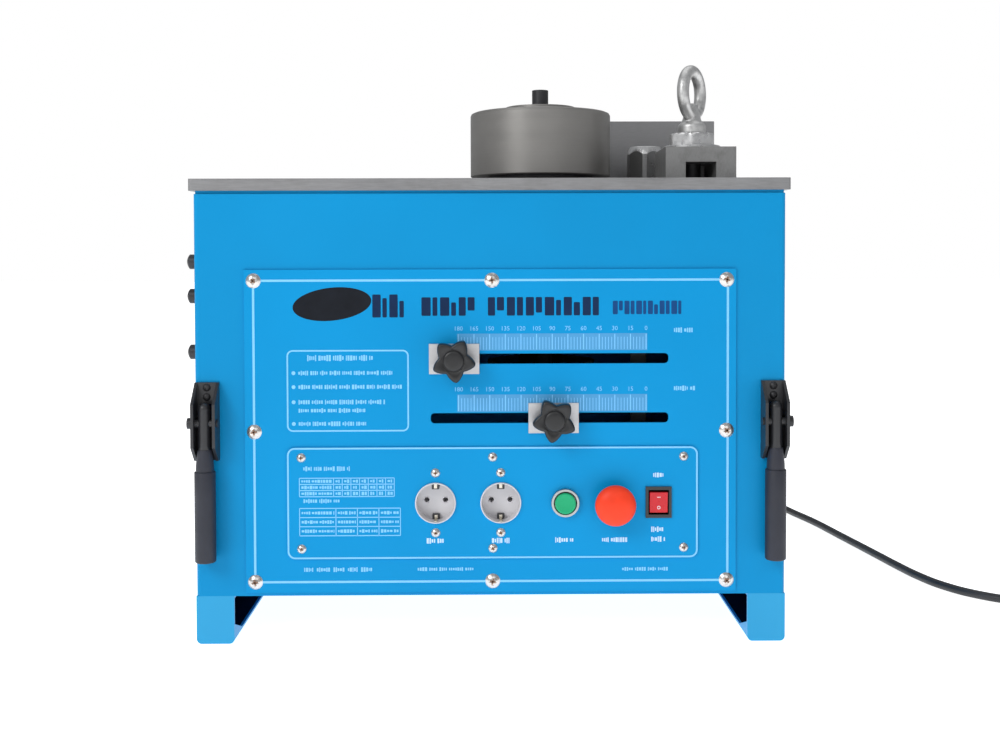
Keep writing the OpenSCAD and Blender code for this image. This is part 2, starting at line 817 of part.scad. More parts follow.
// A block with a tunnel under it, held down by the clamp bolt.
module bridge_block() {
    color("darkgray") difference() {
        block([block_x - block_w / 2, block_y - block_d / 2, table_top],
            [block_x + block_w / 2, block_y + block_d / 2, table_top + block_h]);
        block([block_x - tunnel_w / 2, block_y - block_d / 2 - eps, table_top - eps],
            [block_x + tunnel_w / 2, block_y + block_d / 2 - tunnel_back, table_top + tunnel_h]);
        rod_z(clamp_r, table_top, table_top + block_h + eps, clamp_x, block_y);
    }
}

module clamp_bolt() {
    seat = table_top + block_h;
    color("lightgray") difference() {
        union() {
            rod_z(clamp_flange_r, seat, seat + clamp_flange_h, clamp_x, block_y);
            translate([clamp_x, block_y, seat + clamp_flange_h]) rotate([0, 0, 24])
                cylinder(r = clamp_hex / 2 / cos(30), h = clamp_hex_h, $fn = 6);
            rod_z(clamp_r, case_top, seat, clamp_x, block_y);
            rod_z(clamp_nut_r, table_top, table_top + 8, clamp_x, block_y);
        }
        rod_z(8, seat - 8, seat + clamp_flange_h + clamp_hex_h + eps, clamp_x, block_y);
    }
}

module eye_bolt() {
    seat = table_top + block_h + clamp_flange_h + clamp_hex_h;
    color("lightgray") {
        rod_z(eye_collar_r, seat, seat + eye_collar_h, clamp_x, block_y);
        rod_z(8, seat - 24, seat, clamp_x, block_y);
        translate([clamp_x, block_y, seat + eye_collar_h])
            cylinder(r1 = 13, r2 = 8, h = eye_z - eye_mean - seat - eye_collar_h);
        translate([clamp_x, block_y, eye_z]) rotate([90, 0, eye_turn])
            rotate_extrude() translate([eye_mean, 0]) circle(r = eye_wire);
    }
}

// ---- Drive ----

module gear_frame() {
    color("slategray") difference() {
        union() {
            block([frame_x[0], frame_y[0], frame_z], [frame_x[1], frame_y[1], frame_z + frame_t]);
            for (at = post_at)
                rod_z(12, frame_z + frame_t, case_top, at[0], at[1]);
            rod_z(6, trip_z - 4, frame_z, spindle_x, idler_y);
            rod_z(10, trip_z + trip_h + 0.5, frame_z, spindle_x, idler_y);
        }
        for (at = post_at)
            rod_z(bolt_r, case_top - 20, case_top + eps, at[0], at[1]);
        rod_z(bush_r, frame_z - eps, frame_z + frame_t + eps, spindle_x, spindle_y);
        rod_z(lay_bush_r, frame_z - eps, frame_z + frame_t + eps, lay_x, lay_y);
        rod_z(26, frame_z - eps, frame_z + frame_t + eps, motor_x, motor_y);
    }
}

// A plain bush with a flange at its lower end.
module bush(x, y, bore, outer, flange, from, to) {
    difference() {
        union() {
            rod_z(outer, from, to, x, y);
            rod_z(flange, from, from + 3, x, y);
        }
        rod_z(bore + hair, from - eps, to + eps, x, y);
    }
}

module bearings() {
    color("goldenrod") {
        bush(spindle_x, spindle_y, spindle_r, bush_r, bush_r + 6, case_top - 3, table_top + 0.5);
        bush(spindle_x, spindle_y, spindle_r, bush_r, bush_r + 6, frame_z - 3, frame_z + frame_t);
        bush(lay_x, lay_y, lay_r, lay_bush_r, lay_bush_r, case_top - 6, case_top + 8);
        bush(lay_x, lay_y, lay_r, lay_bush_r, lay_bush_r + 4, frame_z - 3, frame_z + frame_t);
    }
}

module main_spindle() {
    color("silver") difference() {
        union() {
            rod_z(spindle_r, trip_z - 6, arm_z, spindle_x, spindle_y);
            rod_z(spindle_r + 6, frame_z + frame_t + 1, gear_z - 10, spindle_x, spindle_y);
            rod_z(neck_r, arm_z, former_z + former_h - 2, spindle_x, spindle_y);
        }
        rod_z(bolt_r, former_z + former_h - 34, former_z + former_h, spindle_x, spindle_y);
    }
}

module main_gear() {
    color("dimgray") difference() {
        union() {
            translate([spindle_x, spindle_y, gear_z])
                spur_gear(gear_m, main_teeth, gear_h, lay_angle);
            rod_z(46, gear_z - 10, gear_z + gear_h + 8, spindle_x, spindle_y);
        }
        rod_z(spindle_r, gear_z - 12, gear_z + gear_h + 10, spindle_x, spindle_y);
        for (i = [0:5])
            translate([spindle_x, spindle_y, gear_z - eps]) rotate([0, 0, 60 * i])
                rod_z(22, 0, gear_h + 2 * eps, 80, 0);
    }
}

module trip_gear() {
    color("goldenrod") translate([spindle_x, spindle_y, trip_z]) difference() {
        spur_gear(trip_m, trip_teeth, trip_h, -90);
        translate([0, 0, -eps]) cylinder(r = spindle_r, h = trip_h + 2 * eps);
    }
}

module trip_idler() {
    color("goldenrod") translate([spindle_x, idler_y, trip_z]) difference() {
        spur_gear(trip_m, idler_teeth, trip_h, 90 - 180 / idler_teeth);
        translate([0, 0, -eps]) cylinder(r = 6 + hair, h = trip_h + 2 * eps);
    }
}

// The toothed bar that carries the flag past the sliders' sensors.
module trip_rack() {
    add = trip_m;
    ded = 1.25 * trip_m;
    tip = rack_pitch / 4 - add * tan(20) - 0.08;
    root = rack_pitch / 4 + ded * tan(20) - 0.08;
    back = rack_line - ded - 15;
    color("silver") {
        block([5, back, trip_z], [285, rack_line - ded, trip_z + trip_h]);
        translate([spindle_x, rack_line, trip_z]) linear_extrude(trip_h)
            for (k = [-3:rack_tooth_count - 4])
                translate([rack_pitch * (k + 0.5), 0])
                    polygon([[-root, -ded - 0.2], [root, -ded - 0.2], [root, -ded], [tip, add],
                        [-tip, add], [-root, -ded]]);
        block([scale_zero_x - 8, front + 32, trip_z + trip_h],
            [scale_zero_x + 8, back + 10, trip_z + trip_h + 4]);
        block([scale_zero_x - 8, front + 32, slot_lower_z - 9],
            [scale_zero_x + 8, front + 35, slot_upper_z + 9]);
    }
}

// The ledge that the rack slides along, with a foot at each end on the case's front wall.
module rack_rail() {
    back = rack_line - 1.25 * trip_m - 15;
    color("slategray") {
        block([-250, back - 3.5, trip_z - 3.3], [278, back + 13, trip_z - 0.3]);
        block([-250, back - 3.5, trip_z - 3.3], [278, back - 0.4, trip_z + 10]);
        for (x = [-250, 260]) {
            block([x, front + sheet, trip_z - 3.3], [x + 18, back - 3.5, trip_z - 0.3]);
            block([x, front + sheet, trip_z - 3.3], [x + 18, front + 2 * sheet, trip_z + 30]);
        }
    }
}

module layshaft() {
    color("silver") {
        rod_z(lay_r, frame_z - 10, case_top + 6, lay_x, lay_y);
        rod_z(20, frame_z + frame_t + 1, lay_gear_z, lay_x, lay_y);
        translate([lay_x, lay_y, lay_gear_z])
            spur_gear(motor_m, lay_gear_teeth, lay_gear_h, motor_angle);
        translate([lay_x, lay_y, gear_z - 3]) spur_gear(gear_m, lay_pinion_teeth, gear_h + 6,
            lay_angle + 180 - 180 / lay_pinion_teeth);
    }
}

// A flanged motor with a sealed reduction head, ribs, a fan cover and a terminal box.
module gear_motor() {
    color("steelblue") {
        difference() {
            union() {
                rod_z(68, frame_z - 12, frame_z, motor_x, motor_y);
                rod_z(52, frame_z - 70, frame_z - 12, motor_x, motor_y);
            }
            rod_z(10 + hair, frame_z - 30, frame_z + eps, motor_x, motor_y);
            rod_z(24, frame_z - 4, frame_z + eps, motor_x, motor_y);
        }
        rod_z(56, 130, frame_z - 70, motor_x, motor_y);
        for (i = [0:17])
            translate([motor_x, motor_y, 140]) rotate([0, 0, 20 * i])
                block([54, -1.5, 0], [63, 1.5, 100]);
        rod_z(60, 100, 130, motor_x, motor_y);
        block([motor_x - 30, motor_y - 82, 150], [motor_x + 30, motor_y - 50, 230]);
    }
}

module motor_pinion() {
    color("silver") {
        rod_z(10, frame_z - 29, lay_gear_z + lay_gear_h + 6, motor_x, motor_y);
        translate([motor_x, motor_y, lay_gear_z - 3]) spur_gear(motor_m, motor_teeth,
            lay_gear_h + 6, motor_angle + 180 - 180 / motor_teeth);
    }
}

// Contactor and terminal block on the base pan.
module contactor() {
    floor_z = foot_h + 2 * sheet;
    color("whitesmoke") {
        block([120, 60, floor_z], [175, 135, floor_z + 85]);
        block([190, 60, floor_z], [215, 150, floor_z + 40]);
        for (i = [0:4])
            block([195, 64 + i * 17, floor_z + 40], [210, 76 + i * 17, floor_z + 44]);
    }
}

// ---- Power lead ----

// The gland's hexagon and dome, its lock nut inside the cover, and its tapered sleeve.
module cable_gland() {
    color("black") {
        difference() {
            union() {
                translate([gland_x, cover_face, gland_z]) rotate([-90, 30, 0])
                    cylinder(r = 13.8, h = 8, $fn = 6);
                translate([gland_x, cover_face + 8, gland_z]) rotate([-90, 0, 0])
                    cylinder(r1 = 11.8, r2 = 9, h = 14);
                translate([gland_x, cover_face + 22, gland_z]) rotate([-90, 0, 0])
                    cylinder(r1 = 8, r2 = 6.2, h = 45);
                rod_y(9, rear - 10, cover_face, gland_x, gland_z);
            }
            rod_y(cord_r, rear - 10 - eps, gland_end + eps, gland_x, gland_z);
        }
        difference() {
            rod_y(13, rear - 6, rear, gland_x, gland_z);
            rod_y(9, rear - 6 - eps, rear + eps, gland_x, gland_z);
        }
    }
}

// A tube swept along a route: four points make each span a smooth curve.
function span_point(p, i, t) = let (
    a = p[max(i - 1, 0)], b = p[i], c = p[i + 1], d = p[min(i + 2, len(p) - 1)])
    (2 * b + (c - a) * t + (2 * a - 5 * b + 4 * c - d) * t * t
        + (3 * b - a - 3 * c + d) * t * t * t) / 2;
function smooth_route(p, steps) = concat(
    [for (i = [0:len(p) - 2], s = [0:steps - 1]) span_point(p, i, s / steps)], [p[len(p) - 1]]);
function unit(v) = v / norm(v);
function ring_at(p, i, r) = let (
    way = unit(p[min(i + 1, len(p) - 1)] - p[max(i - 1, 0)]),
    side = unit(cross(way, [0, 0, 1])),
    up = cross(side, way))
    [for (k = [0:cord_sides - 1]) let (a = 360 * k / cord_sides)
        p[i] + r * (cos(a) * side + sin(a) * up)];

module tube(route, r, steps) {
    p = smooth_route(route, steps);
    n = cord_sides;
    last = len(p) - 1;
    walls = [for (i = [0:last - 1], k = [0:n - 1]) let (j = (k + 1) % n)
        [i * n + k, i * n + j, (i + 1) * n + j, (i + 1) * n + k]];
    caps = [[for (k = [n - 1:-1:0]) k], [for (k = [0:n - 1]) last * n + k]];
    polyhedron([for (i = [0:last]) each ring_at(p, i, r)], concat(walls, caps));
}

module power_cord() {
    color("dimgray") {
        tube(lead_route, cord_r, 2);
        tube(tail_route, cord_r, 2);
    }
}

module cord_coil() {
    color("dimgray") translate([coil_at[0], coil_at[1], 0]) rotate_extrude()
        translate([coil_r - coil_half, 0]) square([2 * coil_half, coil_h]);
}

// A round two-pin plug with side earth strips, lying on its side.
module plug() {
    color("black") translate(plug_at) rotate([-90, 0, 0]) {
        rotate_extrude() polygon([[0, 0], [6, 0], [8, 22], [15, 30], [18.4, 36], [18.4, 64],
            [0, 64]]);
        for (x = [-9.5, 9.5])
            translate([x, 0, 64]) cylinder(r = 2.4, h = 19);
    }
}

body_shell();
rear_cover();
base_pan();
foot_rails();
top_plate();
front_panel();
electrical_plate();
panel_screws();
plate_screws();
sockets();
start_bezel();
start_button();
stop_collar();
stop_button();
rocker_frame();
rocker_key();
slider_upper();
slider_lower();
knob_upper();
knob_lower();
handle_brackets();
handle_fasteners();
lever_front_left();
lever_front_right();
lever_rear_left();
lever_rear_right();
grip_front_left();
grip_front_right();
grip_rear_left();
grip_rear_right();
side_bolts();
table_screws();
bending_arm();
centre_former();
former_washer();
former_bolt();
bending_roller();
roller_pin();
fence_block();
stop_cam();
cam_bolt();
bridge_block();
clamp_bolt();
eye_bolt();
gear_frame();
bearings();
main_spindle();
main_gear();
trip_gear();
trip_idler();
trip_rack();
rack_rail();
layshaft();
gear_motor();
motor_pinion();
contactor();
cable_gland();
power_cord();
cord_coil();
plug();
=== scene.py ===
"""Looks of a table-top rebar bender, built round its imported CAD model.

The pieces are written in mm, and MM turns them to metres. Camera, floor and lights are in metres.
"""
import math

import bmesh
import bpy
from mathutils import Matrix, Vector


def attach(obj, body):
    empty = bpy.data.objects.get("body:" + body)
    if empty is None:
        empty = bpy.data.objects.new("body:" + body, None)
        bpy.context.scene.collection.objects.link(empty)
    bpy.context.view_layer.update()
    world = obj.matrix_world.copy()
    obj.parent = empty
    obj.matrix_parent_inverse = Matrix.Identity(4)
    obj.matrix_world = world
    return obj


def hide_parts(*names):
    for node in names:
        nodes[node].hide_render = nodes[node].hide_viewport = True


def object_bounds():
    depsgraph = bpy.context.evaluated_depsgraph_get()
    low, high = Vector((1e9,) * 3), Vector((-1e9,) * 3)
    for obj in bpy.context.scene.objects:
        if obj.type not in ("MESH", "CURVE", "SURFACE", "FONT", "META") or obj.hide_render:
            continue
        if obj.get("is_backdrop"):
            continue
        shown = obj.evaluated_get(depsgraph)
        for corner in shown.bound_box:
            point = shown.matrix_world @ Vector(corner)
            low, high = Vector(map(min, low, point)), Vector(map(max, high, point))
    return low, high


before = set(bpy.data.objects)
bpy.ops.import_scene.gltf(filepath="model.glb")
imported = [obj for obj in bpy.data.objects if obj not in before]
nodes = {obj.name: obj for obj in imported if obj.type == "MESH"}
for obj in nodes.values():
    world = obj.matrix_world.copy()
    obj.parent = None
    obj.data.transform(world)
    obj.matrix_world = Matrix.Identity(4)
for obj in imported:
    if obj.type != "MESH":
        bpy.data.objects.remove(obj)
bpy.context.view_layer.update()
MM = 0.001
scene = bpy.context.scene

PANEL = -262.0       # front face of the front panel
PLATE = -263.5       # front face of the plate with the sockets
INK = 0.15           # thickness of the print
CONTROLS_Z = 142.5   # height of the row of sockets, buttons and rocker
SOCKETS_X = (-55.7, 9.8)
START_X = 74.5
STOP_X = 123.4
ROCKER_X = 168.3
PIN_OFFSETS = (-9.5, 9.5)   # the pins of a plug, and their holes, off its middle


def mm(x, y, z):
    """A point given in mm, in metres."""
    return (x * MM, y * MM, z * MM)


# ---- Camera ----

LENS = 43.2
TILT_DOWN, ROLL, TURN_RIGHT = 1.5, 0.16, 0.526   # degrees

camera = bpy.data.objects.new("camera", bpy.data.cameras.new("camera"))
scene.collection.objects.link(camera)
camera.data.lens = LENS
camera.data.sensor_width = 36
camera.data.shift_y = -0.0829
camera.location = (-0.0013, -1.4623, 0.396)
camera.rotation_euler = [math.radians(angle) for angle in (90 - TILT_DOWN, ROLL, -TURN_RIGHT)]
camera.data.clip_start = 0.05
camera.data.clip_end = 60
scene.camera = camera


# ---- Power lead ----

LEAD = [
    (200, 330, 100), (200, 352, 99), (201, 376, 90), (203, 398, 72), (206, 418, 48),
    (211, 438, 24), (219, 462, 8), (232, 490, 5.7), (256, 516, 5), (292, 530, 5),
    (332, 524, 5), (368, 498, 5), (398, 458, 5), (422, 410, 5), (438, 361, 5),
    (449, 309, 5), (464, 244, 5), (476, 170, 5), (487, 102, 5), (495, 51, 5),
    (502, 6, 5), (511, -40, 5), (525, -82, 5), (549, -118, 5), (586, -145, 5),
    (628, -155, 5)]
TAIL = [(742, -68, 15), (742, -47, 17), (742, -26, 18.5)]
COIL = (675, -90)
COIL_TURNS = 4.25
INWARD_TURNS = 2     # turns of the lower spiral
CORD_D = 9.5
COIL_STEP = 16       # points to a turn


def ease(t):
    """0 to 1 with a soft start and end."""
    t = min(1.0, max(0.0, t))
    return t * t * (3 - 2 * t)


def coil_points():
    """Two flat spirals, one on the other: inwards below, outwards above."""
    count = round(COIL_TURNS * COIL_STEP)
    found = []
    for i in range(count + 1):
        turns = COIL_TURNS * i / count
        angle = math.radians(360 * turns - 90)
        radius = 65 - 10 * turns if turns < INWARD_TURNS else 45 + 9.9 * (turns - INWARD_TURNS)
        height = 5 + 10 * ease((turns - 1.85) / 0.3)
        x = COIL[0] + radius * math.cos(angle)
        y = COIL[1] + radius * math.sin(angle)
        found.append((x, y, height))
    return found


# ---- Materials ----

def new_material(name):
    """A material with one shader, its node tree and that shader."""
    made = bpy.data.materials.new(name)
    made.use_nodes = True
    tree = made.node_tree
    tree.nodes.clear()
    out = tree.nodes.new("ShaderNodeOutputMaterial")
    shader = tree.nodes.new("ShaderNodeBsdfPrincipled")
    tree.links.new(shader.outputs[0], out.inputs["Surface"])
    return made, tree, shader


def object_coords(tree, stretch=(1, 1, 1), turned=None):
    """Object coordinates in metres.

    With turned=(x, y), the distance from that upright axis and the height instead.
    """
    coords = tree.nodes.new("ShaderNodeTexCoord")
    last = coords.outputs["Object"]
    if turned is not None:
        shift = tree.nodes.new("ShaderNodeVectorMath")
        shift.operation = "SUBTRACT"
        shift.inputs[1].default_value = (turned[0] * MM, turned[1] * MM, 0)
        tree.links.new(last, shift.inputs[0])
        split = tree.nodes.new("ShaderNodeSeparateXYZ")
        tree.links.new(shift.outputs[0], split.inputs[0])
        flat = tree.nodes.new("ShaderNodeCombineXYZ")
        tree.links.new(split.outputs[0], flat.inputs[0])
        tree.links.new(split.outputs[1], flat.inputs[1])
        length = tree.nodes.new("ShaderNodeVectorMath")
        length.operation = "LENGTH"
        tree.links.new(flat.outputs[0], length.inputs[0])
        both = tree.nodes.new("ShaderNodeCombineXYZ")
        tree.links.new(length.outputs["Value"], both.inputs[0])
        tree.links.new(split.outputs[2], both.inputs[2])
        last = both.outputs[0]
    mapping = tree.nodes.new("ShaderNodeMapping")
    mapping.inputs["Scale"].default_value = stretch
    tree.links.new(last, mapping.inputs["Vector"])
    return mapping.outputs[0]


def noise(tree, coords, scale, detail=3.0, rough=0.55):
    """Soft noise over the coordinates, near 0.5 on average."""
    made = tree.nodes.new("ShaderNodeTexNoise")
    made.inputs["Scale"].default_value = scale
    made.inputs["Detail"].default_value = detail
    made.inputs["Roughness"].default_value = rough
    tree.links.new(coords, made.inputs["Vector"])
    return made.outputs["Fac"]


def ranged(tree, value, low, high, from_low=0.25, from_high=0.75):
    """The value, stretched from one range to another and cut off at its ends."""
    made = tree.nodes.new("ShaderNodeMapRange")
    made.inputs["From Min"].default_value = from_low
    made.inputs["From Max"].default_value = from_high
    made.inputs["To Min"].default_value = low
    made.inputs["To Max"].default_value = high
    tree.links.new(value, made.inputs["Value"])
    return made.outputs["Result"]


def blend_colour(tree, factor, first, second):
    """A mix of two colours, each a tuple or the output of a node. The factor may be a plain number."""
    made = tree.nodes.new("ShaderNodeMix")
    made.data_type = "RGBA"
    if isinstance(factor, float):
        made.inputs["Factor"].default_value = factor
    else:
        tree.links.new(factor, made.inputs["Factor"])
    for socket, value in ((6, first), (7, second)):
        if isinstance(value, tuple):
            made.inputs[socket].default_value = (*value[:3], 1)
        else:
            tree.links.new(value, made.inputs[socket])
    return made.outputs[2]


NO_STRETCH = (1, 1, 1)
FINE_GRAIN = 2500    # scale of the second, finer bump


def surface(name, colour, rough=0.4, metal=0.0, vary=0.06, patch=18, grain=900, grain_depth=0.02,
            rough_vary=0.06, coat=0.0, stretch=NO_STRETCH, turned=None, fine_depth=0.0, second=None,
            second_at=(0.45, 0.75), spec=0.5):
    """A procedural finish: slow colour patches, grain in the bump, and a roughness that wanders."""
    made, tree, shader = new_material(name)
    shader.inputs["Metallic"].default_value = metal
    shader.inputs["Coat Weight"].default_value = coat
    shader.inputs["Coat Roughness"].default_value = 0.08
    shader.inputs["Specular IOR Level"].default_value = spec
    plain = object_coords(tree)
    grained = object_coords(tree, stretch, turned)
    dark = tuple(c * (1 - vary) for c in colour)
    light = tuple(min(1.0, c * (1 + vary)) for c in colour)
    shade = blend_colour(tree, ranged(tree, noise(tree, plain, patch), 0, 1), dark, light)
    streak = noise(tree, grained, grain, 4)
    if second is not None:
        mask = ranged(tree, noise(tree, plain, patch * 2.3, 5, 0.65), 0, 1, *second_at)
        shade = blend_colour(tree, mask, shade, second)
    if stretch != NO_STRETCH or turned is not None:
        lined = blend_colour(tree, ranged(tree, streak, 0, 1), tuple(c * (1 - 2 * vary) for c in colour),
                             tuple(min(1.0, c * (1 + 2 * vary)) for c in colour))
        shade = blend_colour(tree, 0.5, shade, lined)
    tree.links.new(shade, shader.inputs["Base Color"])
    wander = noise(tree, grained if stretch != NO_STRETCH else plain, patch * 3, 4)
    tree.links.new(ranged(tree, wander, max(0.02, rough - rough_vary), min(1, rough + rough_vary)),
                   shader.inputs["Roughness"])
    bump = tree.nodes.new("ShaderNodeBump")
    bump.inputs["Strength"].default_value = 1.0
    bump.inputs["Distance"].default_value = grain_depth * MM
    tree.links.new(streak, bump.inputs["Height"])
    last = bump
    if fine_depth:
        second_bump = tree.nodes.new("ShaderNodeBump")
        second_bump.inputs["Distance"].default_value = fine_depth * MM
        tree.links.new(noise(tree, plain, FINE_GRAIN, 2), second_bump.inputs["Height"])
        tree.links.new(bump.outputs[0], second_bump.inputs["Normal"])
        last = second_bump
    tree.links.new(last.outputs[0], shader.inputs["Normal"])
    return made


SPINDLE = (58, -79)
ROLLER = (33.02, 65.86)
CLAMP = (227.5, -108)
CAM = (186.4, -22)

BLUE = (0.002, 0.252, 0.545)
mats = {
    "blue": surface("blue_powder_coat", BLUE, 0.4, vary=0.06, patch=4, grain=420, grain_depth=0.05,
                    rough_vary=0.06, fine_depth=0.006, spec=0.12),
    "panel": surface("panel_enamel", (0.002, 0.272, 0.595), 0.38, vary=0.06, patch=4.5, grain=520,
                     grain_depth=0.03, fine_depth=0.004, spec=0.11),
    # the body's blue powder coat, made lighter: painted light from the pale floor under the feet
    "foot": surface("foot_powder_coat_painted_floor_light", (0.03, 0.33, 0.61), 0.4, vary=0.05, patch=8, grain=420,
                    grain_depth=0.05, spec=0.18),
    "table": surface("table_steel", (0.27, 0.27, 0.275), 0.42, 0.75, vary=0.1, patch=9, grain=260,
                     grain_depth=0.02, stretch=(0.25, 9, 2.5), rough_vary=0.1,
                     second=(0.17, 0.165, 0.16), second_at=(0.5, 0.85)),
    "drum": surface("turned_steel", (0.27, 0.262, 0.25), 0.4, 0.7, vary=0.09, patch=24, grain=1500,
                    grain_depth=0.03, stretch=(1, 1, 1.4), turned=SPINDLE, rough_vary=0.08),
    "roller": surface("roller_steel", (0.33, 0.325, 0.32), 0.34, 0.8, vary=0.09, patch=30, grain=1700,
                      grain_depth=0.02, turned=ROLLER, rough_vary=0.08),
    "cam": surface("cam_steel", (0.25, 0.25, 0.25), 0.33, 0.75, vary=0.1, patch=40, grain=1200,
                   grain_depth=0.02, turned=CAM, rough_vary=0.08),
    # painted highlight: the cam's steel made bright for its upward bevel, as if lit
    "cam_bevel_painted_highlight": surface("cam_bevel_painted_highlight_steel", (0.6, 0.6, 0.6), 0.32, 0.8, vary=0.1, patch=40, grain=1200,
                        grain_depth=0.02, rough_vary=0.08),
    "fence": surface("milled_steel", (0.24, 0.24, 0.245), 0.5, 0.45, vary=0.08, patch=16, grain=420,
                     grain_depth=0.03, stretch=(0.3, 1, 6), rough_vary=0.08),
    "block": surface("block_steel", (0.27, 0.27, 0.268), 0.46, 0.6, vary=0.12, patch=28, grain=500,
                     grain_depth=0.03, stretch=(5, 1, 0.4), rough_vary=0.09,
                     second=(0.14, 0.137, 0.13), second_at=(0.5, 0.8)),
    "zinc": surface("zinc_plate", (0.62, 0.62, 0.62), 0.33, 0.9, vary=0.09, patch=55, grain=1100,
                    grain_depth=0.02, rough_vary=0.12, second=(0.38, 0.385, 0.39), second_at=(0.5, 0.85)),
    "forged": surface("forged_zinc", (0.56, 0.56, 0.555), 0.42, 0.85, vary=0.12, patch=70, grain=420,
                      grain_depth=0.16, rough_vary=0.13, second=(0.3, 0.3, 0.3), second_at=(0.5, 0.85)),
    "screw": surface("bright_screw", (0.66, 0.63, 0.60), 0.28, 0.95, vary=0.08, patch=160, grain=1800,
                     grain_depth=0.01, rough_vary=0.08, second=(0.45, 0.33, 0.24), second_at=(0.6, 0.9)),
    "black_oxide": surface("black_oxide", (0.04, 0.04, 0.043), 0.42, 0.5, vary=0.2, patch=60, grain=1400,
                           grain_depth=0.015),
    "black_paint": surface("black_paint", (0.014, 0.0148, 0.018), 0.4, vary=0.14, patch=22, grain=520,
                           grain_depth=0.05, rough_vary=0.08, coat=0.1),
    "grip": surface("grip_plastic", (0.021, 0.023, 0.034), 0.5, vary=0.12, patch=30, grain=1500,
                    grain_depth=0.07, rough_vary=0.06, spec=0.4),
    "knob": surface("knob_plastic", (0.009, 0.0095, 0.0105), 0.36, vary=0.14, patch=60, grain=2200,
                    grain_depth=0.03, rough_vary=0.06),
    "slider": surface("slider_plate", (0.54, 0.54, 0.55), 0.4, 0.8, vary=0.07, patch=60, grain=700,
                      grain_depth=0.02, stretch=(0.3, 1, 5), rough_vary=0.08),
    "socket": surface("socket_plastic", (0.66, 0.65, 0.67), 0.32, vary=0.03, patch=50, grain=1600,
                      grain_depth=0.02, coat=0.15),
    "clip": surface("clip_metal", (0.62, 0.58, 0.5), 0.28, 0.95, vary=0.08, patch=200, grain=1500,
                    grain_depth=0.01, rough_vary=0.08),
    "bezel": surface("polished_ring", (0.42, 0.42, 0.42), 0.32, 0.95, vary=0.05, patch=120, grain=2200,
                     grain_depth=0.008, rough_vary=0.05),
    "green": surface("green_plastic", (0.012, 0.39, 0.165), 0.34, vary=0.06, patch=90, grain=1600,
                     grain_depth=0.015, spec=0.25),
    "red": surface("red_plastic", (0.88, 0.055, 0.018), 0.4, vary=0.07, patch=70, grain=1500,
                   grain_depth=0.02, spec=0.2),
    "rocker": surface("rocker_plastic", (0.56, 0.014, 0.022), 0.3, vary=0.08, patch=90, grain=1500,
                      grain_depth=0.015, spec=0.35),
    "black_plastic": surface("black_plastic", (0.022, 0.022, 0.025), 0.36, vary=0.15, patch=50,
                             grain=1500, grain_depth=0.03),
    "rubber": surface("cord_rubber", (0.018, 0.018, 0.02), 0.48, vary=0.16, patch=60, grain=900,
                      grain_depth=0.05, rough_vary=0.08),
    "light_ink": surface("light_ink", (0.20, 0.56, 0.90), 0.45, vary=0.04, patch=90, grain=1800,
                         grain_depth=0.006),
    "band_ink": surface("band_ink", (0.055, 0.30, 0.59), 0.45, vary=0.06, patch=40, grain=1800,
                        grain_depth=0.006),
    "label_ink": surface("label_ink", (0.52, 0.70, 0.93), 0.45, vary=0.05, patch=90, grain=1800,
                         grain_depth=0.006),
    "navy_ink": surface("navy_ink", (0.006, 0.022, 0.07), 0.45, vary=0.15, patch=60, grain=1800,
                        grain_depth=0.006, spec=0.12),
    "pale_navy_ink": surface("pale_navy_ink", (0.007, 0.06, 0.2), 0.45, vary=0.12, patch=60, grain=1800,
                             grain_depth=0.006, spec=0.12),
    "worn_cross": surface("worn_cross", (0.26, 0.15, 0.10), 0.5, 0.5, vary=0.3, patch=120, grain=1800,
                          grain_depth=0.01),
    "steel_dark": surface("oiled_steel", (0.05, 0.05, 0.05), 0.42, 0.6, vary=0.2, patch=60, grain=900,
                          grain_depth=0.02),
    "white_ink": surface("white_ink", (0.80, 0.72, 0.76), 0.42, vary=0.03, patch=90, grain=1800,
                         grain_depth=0.006),
    "dark_ink": surface("dark_ink", (0.009, 0.011, 0.016), 0.45, vary=0.2, patch=60, grain=1800,
                        grain_depth=0.006, spec=0.12),
    # painted shade: the foot's blue as it looks in the shadow inside the rails
    "foot_inside_painted_shade": surface("foot_inside_painted_shade", (0.0012, 0.006, 0.02), 0.6, vary=0.3, patch=20, grain=500,
                           grain_depth=0.04, spec=0.05),
    "bronze": surface("oiled_bronze", (0.07, 0.052, 0.03), 0.42, 0.6, vary=0.15, patch=60, grain=900,
                      grain_depth=0.02, second=(0.035, 0.03, 0.022), second_at=(0.5, 0.85)),
    "primer": surface("grey_primer", (0.045, 0.05, 0.056), 0.6, vary=0.1, patch=16, grain=500,
                      grain_depth=0.05),
    "motor": surface("motor_enamel", (0.03, 0.09, 0.2), 0.4, vary=0.1, patch=20, grain=500,
                     grain_depth=0.06, coat=0.2),
    "control": surface("control_plastic", (0.62, 0.62, 0.6), 0.4, vary=0.05, patch=40, grain=1500,
                       grain_depth=0.02),
}

